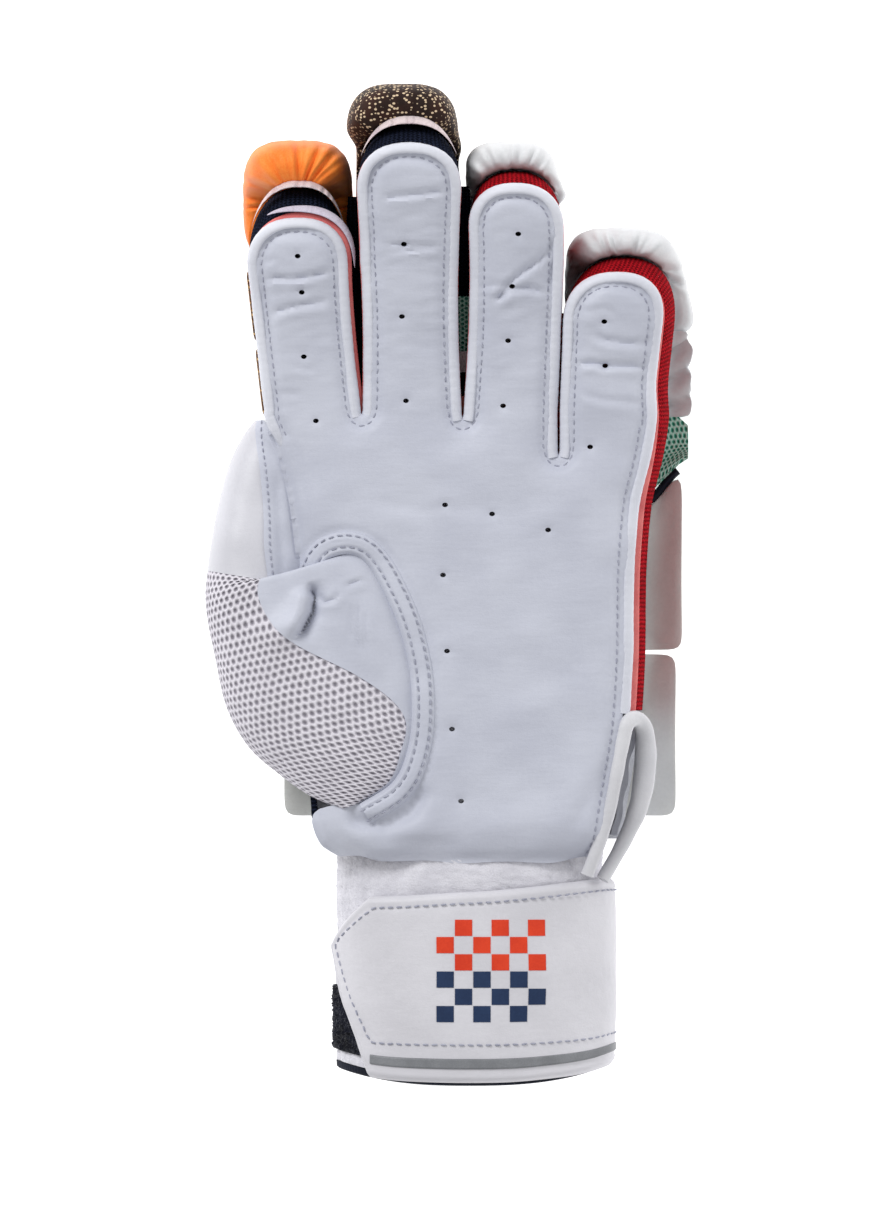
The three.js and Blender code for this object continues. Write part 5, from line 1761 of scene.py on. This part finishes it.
def cuff_point(turn, y, out):
    """A point round the cuff: turn 0 on the palm side, 0.25 little finger side, 0.5 back, 0.75 thumb side."""
    angle = math.pi / 2 - turn * 2 * math.pi
    c, s = np.cos(angle), np.sin(angle)
    power = 2 / CUFF_ROUND
    x = CUFF_X + (CUFF_WIDTH / 2 + out) * np.sign(c) * np.abs(c) ** power
    z = CUFF_CENTRE_HEIGHT + (CUFF_DEPTH / 2 + out) * np.sign(s) * np.abs(s) ** power
    arch = FOOT_ARCH * np.abs((x - CUFF_X) * 2 / CUFF_WIDTH) ** ARCH_POWER
    y = y + arch * (1 - smooth((y - CUFF_FOOT) / ARCH_REACH))
    return np.stack(np.broadcast_arrays(x, y, z), -1)


def cuff_run(turn):
    """About how many millimetres round the cuff a turn is."""
    return turn * 2 * (CUFF_WIDTH + CUFF_DEPTH) * CORNER_SAVING


def strap_high(turn):
    return lerp(CUFF_FOOT + STRAP_WIDTH + 1, CUFF_FOOT + STRAP_WIDTH + 6, smooth((turn + 0.1) / 0.3))


def strap_low(turn):
    return CUFF_FOOT + 0.9 - 0.8 * smooth((np.abs(turn - 0.02) - 0.04) / 0.1)


def strap_edges(turn):
    """The strap's lower and upper edge at a turn, drawn to a point at its thumb side end."""
    wide = clamp((turn - STRAP_TIP) / (STRAP_SHOULDER - STRAP_TIP))
    point = CUFF_FOOT + STRAP_POINT * STRAP_WIDTH
    return lerp(point - 0.6, strap_low(turn), wide), lerp(point + 0.6, strap_high(turn), wide)


def band_on_cuff(turns, low, high, columns, out, thickness, relief=None):
    share = np.linspace(0, 1, columns)[None, :]
    y = lerp(low[:, None], high[:, None], share)
    turn = np.broadcast_to(turns[:, None], y.shape)
    edge = np.minimum(share, 1 - share) * (high - low)[:, None]
    proud = thickness * (0.35 + 0.65 * np.sqrt(1 - (1 - clamp(edge / thickness)) ** 2))
    extra = relief(turn, y, edge) if relief else 0
    return shell(cuff_point(turn, y, out + proud + extra), cuff_point(turn, y, out + 0 * y))


def cloth_ring(profile, count, relief):
    turns = np.linspace(0, 1, count + 1)[:-1]
    y, out = profile[:, 0][None, :], profile[:, 1][None, :]
    turn = np.broadcast_to(turns[:, None], (count, len(profile)))
    y = y + 0 * turn
    return tube(cuff_point(turn, y, out + relief(cuff_run(turn), y)), joined=True)


CUFF_ROWS = 110
CUFF_COLUMNS = 300
HEM_COLUMNS = 420
# The towelling's loops: how far apart round the cuff and along it
LOOP_PITCH = 1.7
LOOP_ROWS = 1.5


def make_cuff():
    foot = CUFF_FOOT + HEM
    outside = np.column_stack([np.linspace(CUFF_TOP, foot, CUFF_ROWS), np.zeros(CUFF_ROWS)])
    inside_wall = np.column_stack([np.linspace(foot, CUFF_TOP, 12), np.full(12, -CUFF_WALL)])

    def loops(run, y):
        along = np.sin(2 * math.pi * run / LOOP_PITCH + 0.6 * waves(run, y, 6, 83))
        rows = along * np.sin(2 * math.pi * y / LOOP_ROWS)
        nap = 0.16 * rows + 0.12 * waves(run, y, LOOP_PITCH, 81, 1.2, 30) + 0.25 * waves(run, y, 12, 82)
        return nap * smooth((CUFF_TOP - y) / 2)

    ring = cloth_ring(np.concatenate([outside, inside_wall]), CUFF_COLUMNS, loops)
    make_piece("cuff_towelling", ring, TERRY, ["cuff"])
    hem_outside = [[foot - 0.2, 0.35], [CUFF_FOOT + 0.4, 0.2], [CUFF_FOOT, -0.5]]
    hem_inside = [[CUFF_FOOT, -CUFF_WALL + 0.4], [foot - 0.2, -CUFF_WALL]]
    hem = resample([*hem_outside, *hem_inside], count=16)
    ring = cloth_ring(hem, HEM_COLUMNS, lambda run, y: 0.09 * np.sin(run * 4.2))
    make_piece("cuff_hem_tape", ring, TAPE, ["cuff_hem"])


def make_loop_patch():
    turns = np.linspace(*LOOP_TURNS, 180)
    low, high = [np.full(len(turns), edge) for edge in LOOP_EDGES]

    def nap(turn, y, edge):
        run = turn * 240
        return 0.4 * waves(run, y, 1.4, 91, 1.0, 40) + 0.2 * waves(run, y, 4, 92)

    made = band_on_cuff(turns, low, high, 42, CLEARANCE, LOOP_THICKNESS, nap)
    make_piece("loop_patch_nap", made, LOOP, ["loop_patch"])


STRAP_SEAM = 3.3
LOWER_SEAM = 11.0
STRIPE_THICKNESS = 0.45


def strap_relief(turn, y, edge):
    run = cuff_run(turn)
    return 0.22 * waves(run, y, 30, 101) - 0.3 * bell(edge - STRAP_SEAM, 0.8) + 0.03 * waves(run, y, 5, 102)


def away_from_seam(turn, y, edge=None):
    """The strap's relief without its seam's groove, for what lies on the strap."""
    return strap_relief(turn, y, STRAP_WIDTH)


def seam_on_strap():
    """The strap's stitch line: along the top, round the point and back along the bottom."""
    turn = np.linspace(0.235, STRAP_SHOULDER + 0.012, 120)
    top = [(t, strap_edges(t)[1] - STRAP_SEAM) for t in turn]
    tip = (STRAP_TIP + 0.02, CUFF_FOOT + STRAP_POINT * STRAP_WIDTH)
    bottom = [(t, strap_low(t) + LOWER_SEAM) for t in turn[::-1]]
    corner = (STRAP_SHOULDER + 0.006, strap_low(STRAP_SHOULDER) + LOWER_SEAM)
    route = resample(np.array([*top, tip, corner, *bottom]) * [200, 1], spacing=1.0) / [200, 1]
    return cuff_point(route[:, 0], route[:, 1], STRAP_OUT + STRAP_THICKNESS + 0.1)


# A plain chequered block where the strap carries a print: turn and height of its corner, and its squares
CHECK_SIZE = 5.0
CHECK_COLUMNS = 6
CHECK_ROWS = 6
CHECK_STEPS = 8
CHECK_EDGES = np.array([0.03, 0.97])
CHECK_CORNER = (CUFF_X - 9.3, CUFF_FOOT + 18.4)


def turn_at(x):
    """The turn at which the cuff's palm side stands over a place across it."""
    c = np.abs((x - CUFF_X) / (CUFF_WIDTH / 2 + STRAP_OUT)) ** (CUFF_ROUND / 2)
    return np.sign(x - CUFF_X) * (0.25 - np.arccos(np.clip(c, 0, 1)) / (2 * math.pi))


def make_check(name, rows, material):
    squares = []
    for i in range(CHECK_COLUMNS):
        for j in rows:
            if (i + j) % 2:
                continue
            x = CHECK_CORNER[0] + (i + CHECK_EDGES) * CHECK_SIZE
            y = CHECK_CORNER[1] + (j + CHECK_EDGES) * CHECK_SIZE
            turns = turn_at(np.linspace(*x, CHECK_STEPS))
            turn, height = np.meshgrid(turns, np.linspace(*y, CHECK_STEPS), indexing="ij")
            out = STRAP_OUT + STRAP_THICKNESS + away_from_seam(turn, height)
            made, quads = shell(cuff_point(turn, height, out + 0.14), cuff_point(turn, height, out - 0.25))
            squares.append((made, quads.tolist()))
    make_piece(name, merged(squares), material)


def make_strap():
    point = np.linspace(STRAP_TIP, STRAP_SHOULDER, 50)[:-1]
    turns = np.concatenate([point, np.linspace(STRAP_SHOULDER, STRAP_END, 200)])
    low, high = strap_edges(turns)
    made = band_on_cuff(turns, low, high, 54, STRAP_OUT, STRAP_THICKNESS, strap_relief)
    make_piece("strap_band", made, STRAP, ["strap"])
    turns = np.linspace(STRAP_SHOULDER + 0.006, 0.24, 200)
    low = strap_low(turns) + 4
    out = STRAP_OUT + STRAP_THICKNESS - 0.1
    made = band_on_cuff(turns, low, low + STRIPE_WIDTH, 12, out, STRIPE_THICKNESS, away_from_seam)
    make_piece("strap_stripe_tape", made, SILVER, ["strap_stripe"])
    thread_piece("strap_stitches", [seam_on_strap()], slot="strap", width=0.55)
    make_check("strap_check_upper", range(CHECK_ROWS // 2, CHECK_ROWS), CHECK_ORANGE)
    make_check("strap_check_lower", range(CHECK_ROWS // 2), CHECK_NAVY)


make_cuff()
make_loop_patch()
make_strap()


# Side of the heel, little finger side

# The slit's bound edge: shares of half the HAND_WIDTH and of PALM_LENGTH, and how far above or below
# the palm's height, as a share of the binding's width
SLIT_LEGS = table(
    "x y z",
    (0.66, -0.03, -0.8),
    (0.76, 0.09, -0.8),
    (0.81, 0.19, -0.6),
    (0.845, 0.27, -0.6),
    (0.87, 0.31, -0.7),
    (0.915, 0.318, -1.6),
    (0.955, 0.29, -2.6),
    (0.96, 0.22, -3),
    (0.93, 0.13, -3),
    (0.85, 0.045, -2.7),
    (0.74, -0.04, -1.9),
)
# Where along the slit the binding is fullest, over what share of it, and by how much
SLIT_FULL_AT = 0.66
SLIT_FULL_OVER = 0.17
SLIT_FULLER = 0.75


def slit_leg(x, y, z):
    return x * HALF_HAND, y * PALM_LENGTH, level_at(y * PALM_LENGTH) + z * SLIT_BINDING


def make_slit():
    legs = np.array([slit_leg(**row) for row in SLIT_LEGS], float)
    line = resample(between(legs, 12), spacing=0.8)
    step = unit(np.gradient(line, axis=0))
    side = unit(np.cross(step, [0, 0, 1.0]))
    up = np.cross(side, step)
    across, lift = oval(20, 2.2)
    share = np.linspace(0, 1, len(line))
    fuller = SLIT_FULLER * bell(share - SLIT_FULL_AT, SLIT_FULL_OVER)
    half = SLIT_BINDING / 2 * (1.05 + fuller + 0.03 * waves(share * 90, 0 * share, 7, 111))
    rings = line[:, None] + side[:, None] * (across[None, :] * half[:, None])[..., None]
    rings = rings + up[:, None] * (lift[None, :] * 0.9 * half[:, None])[..., None]
    make_piece("slit_binding_rolled", tube(rings), SLIT_WHITE, ["slit_binding"])


def make_side_wall():
    path = side_path("right", SLIT_Y - 1.5, CUFF_TUCK + CLEARANCE + 1, 70, 2.5)
    top = edge_height(path[:, 1]) - SLIT_BINDING - 4
    foot = back_top(path[:, 0], path[:, 1]) + 2 * CLEARANCE
    share = np.linspace(0, 1, 24)[None, :]
    out = outwards(path)
    reach = lerp(0, -2.2, share) + 0.3 * waves(path[:, 1][:, None], 20 * share, 12, 121)
    z = lerp(top[:, None], foot[:, None], share)

    def surface(sunk):
        flat = path[:, None, :] + out[:, None, :] * (reach - sunk)[..., None]
        return np.concatenate([flat, z[..., None]], -1)

    make_piece("side_wall_leather", shell(surface(0), surface(LEATHER)), EDGE, ["side_wall"])


make_slit()
make_side_wall()


# Camera, floor and light

CAMERA_HEIGHT = 6.0
SENSOR = 36.0
PICTURE_HEIGHT = IMAGE_SIZE[1] * PIXEL * MM
MIDDLE_PLANE = 0.05
FLOOR_SIZE = 8.0


def make_camera():
    data = bpy.data.cameras.new("camera")
    data.sensor_width = SENSOR
    data.lens = SENSOR * CAMERA_HEIGHT / PICTURE_HEIGHT
    data.clip_start, data.clip_end = 0.5, 50
    camera = bpy.data.objects.new("camera", data)
    x = (IMAGE_SIZE[0] / 2 - ORIGIN_PIXEL[0]) * PIXEL * MM
    y = (ORIGIN_PIXEL[1] - IMAGE_SIZE[1] / 2) * PIXEL * MM
    camera.location = (x, y, CAMERA_HEIGHT + MIDDLE_PLANE)
    bpy.context.scene.collection.objects.link(camera)
    bpy.context.scene.camera = camera


def make_floor():
    bpy.ops.mesh.primitive_plane_add(size=FLOOR_SIZE, location=(0, 0, 0))
    floor = bpy.context.object
    floor.name = "floor"
    paint = Paint("floor", 0.9, specular=0.0)
    paint.base(colour(252, 252, 252))
    paint.shader.inputs["Emission Color"].default_value = (1, 1, 1, 1)
    paint.shader.inputs["Emission Strength"].default_value = FLOOR_GLOW
    floor.data.materials.append(paint.material)


# Soft boxes: where each stands, its size in metres and its power in watts
LAMPS = table(
    "name at size power",
    ("key", (-1.0, 1.3, 1.35), 0.8, 26),
    ("fill", (1.6, 0.1, 0.75), 1.3, 8),
)
LAMP_AIM = (0, 0, 0.04)
WORLD_LIGHT = 0.57
FLOOR_GLOW = 0.6


def make_lights():
    for row in LAMPS:
        data = bpy.data.lights.new(row["name"], "AREA")
        data.size, data.energy = row["size"], row["power"]
        lamp = bpy.data.objects.new(row["name"], data)
        lamp.location = row["at"]
        lamp.rotation_mode = "QUATERNION"
        lamp.rotation_quaternion = (Vector(LAMP_AIM) - lamp.location).to_track_quat("-Z", "Y")
        bpy.context.scene.collection.objects.link(lamp)
    world = bpy.data.worlds.new("studio")
    world.use_nodes = True
    sky = world.node_tree.nodes["Background"].inputs
    sky["Color"].default_value = (1, 1, 1, 1)
    sky["Strength"].default_value = WORLD_LIGHT
    bpy.context.scene.world = world
    bpy.context.scene.view_settings.view_transform = "Standard"


make_camera()
make_floor()
make_lights()
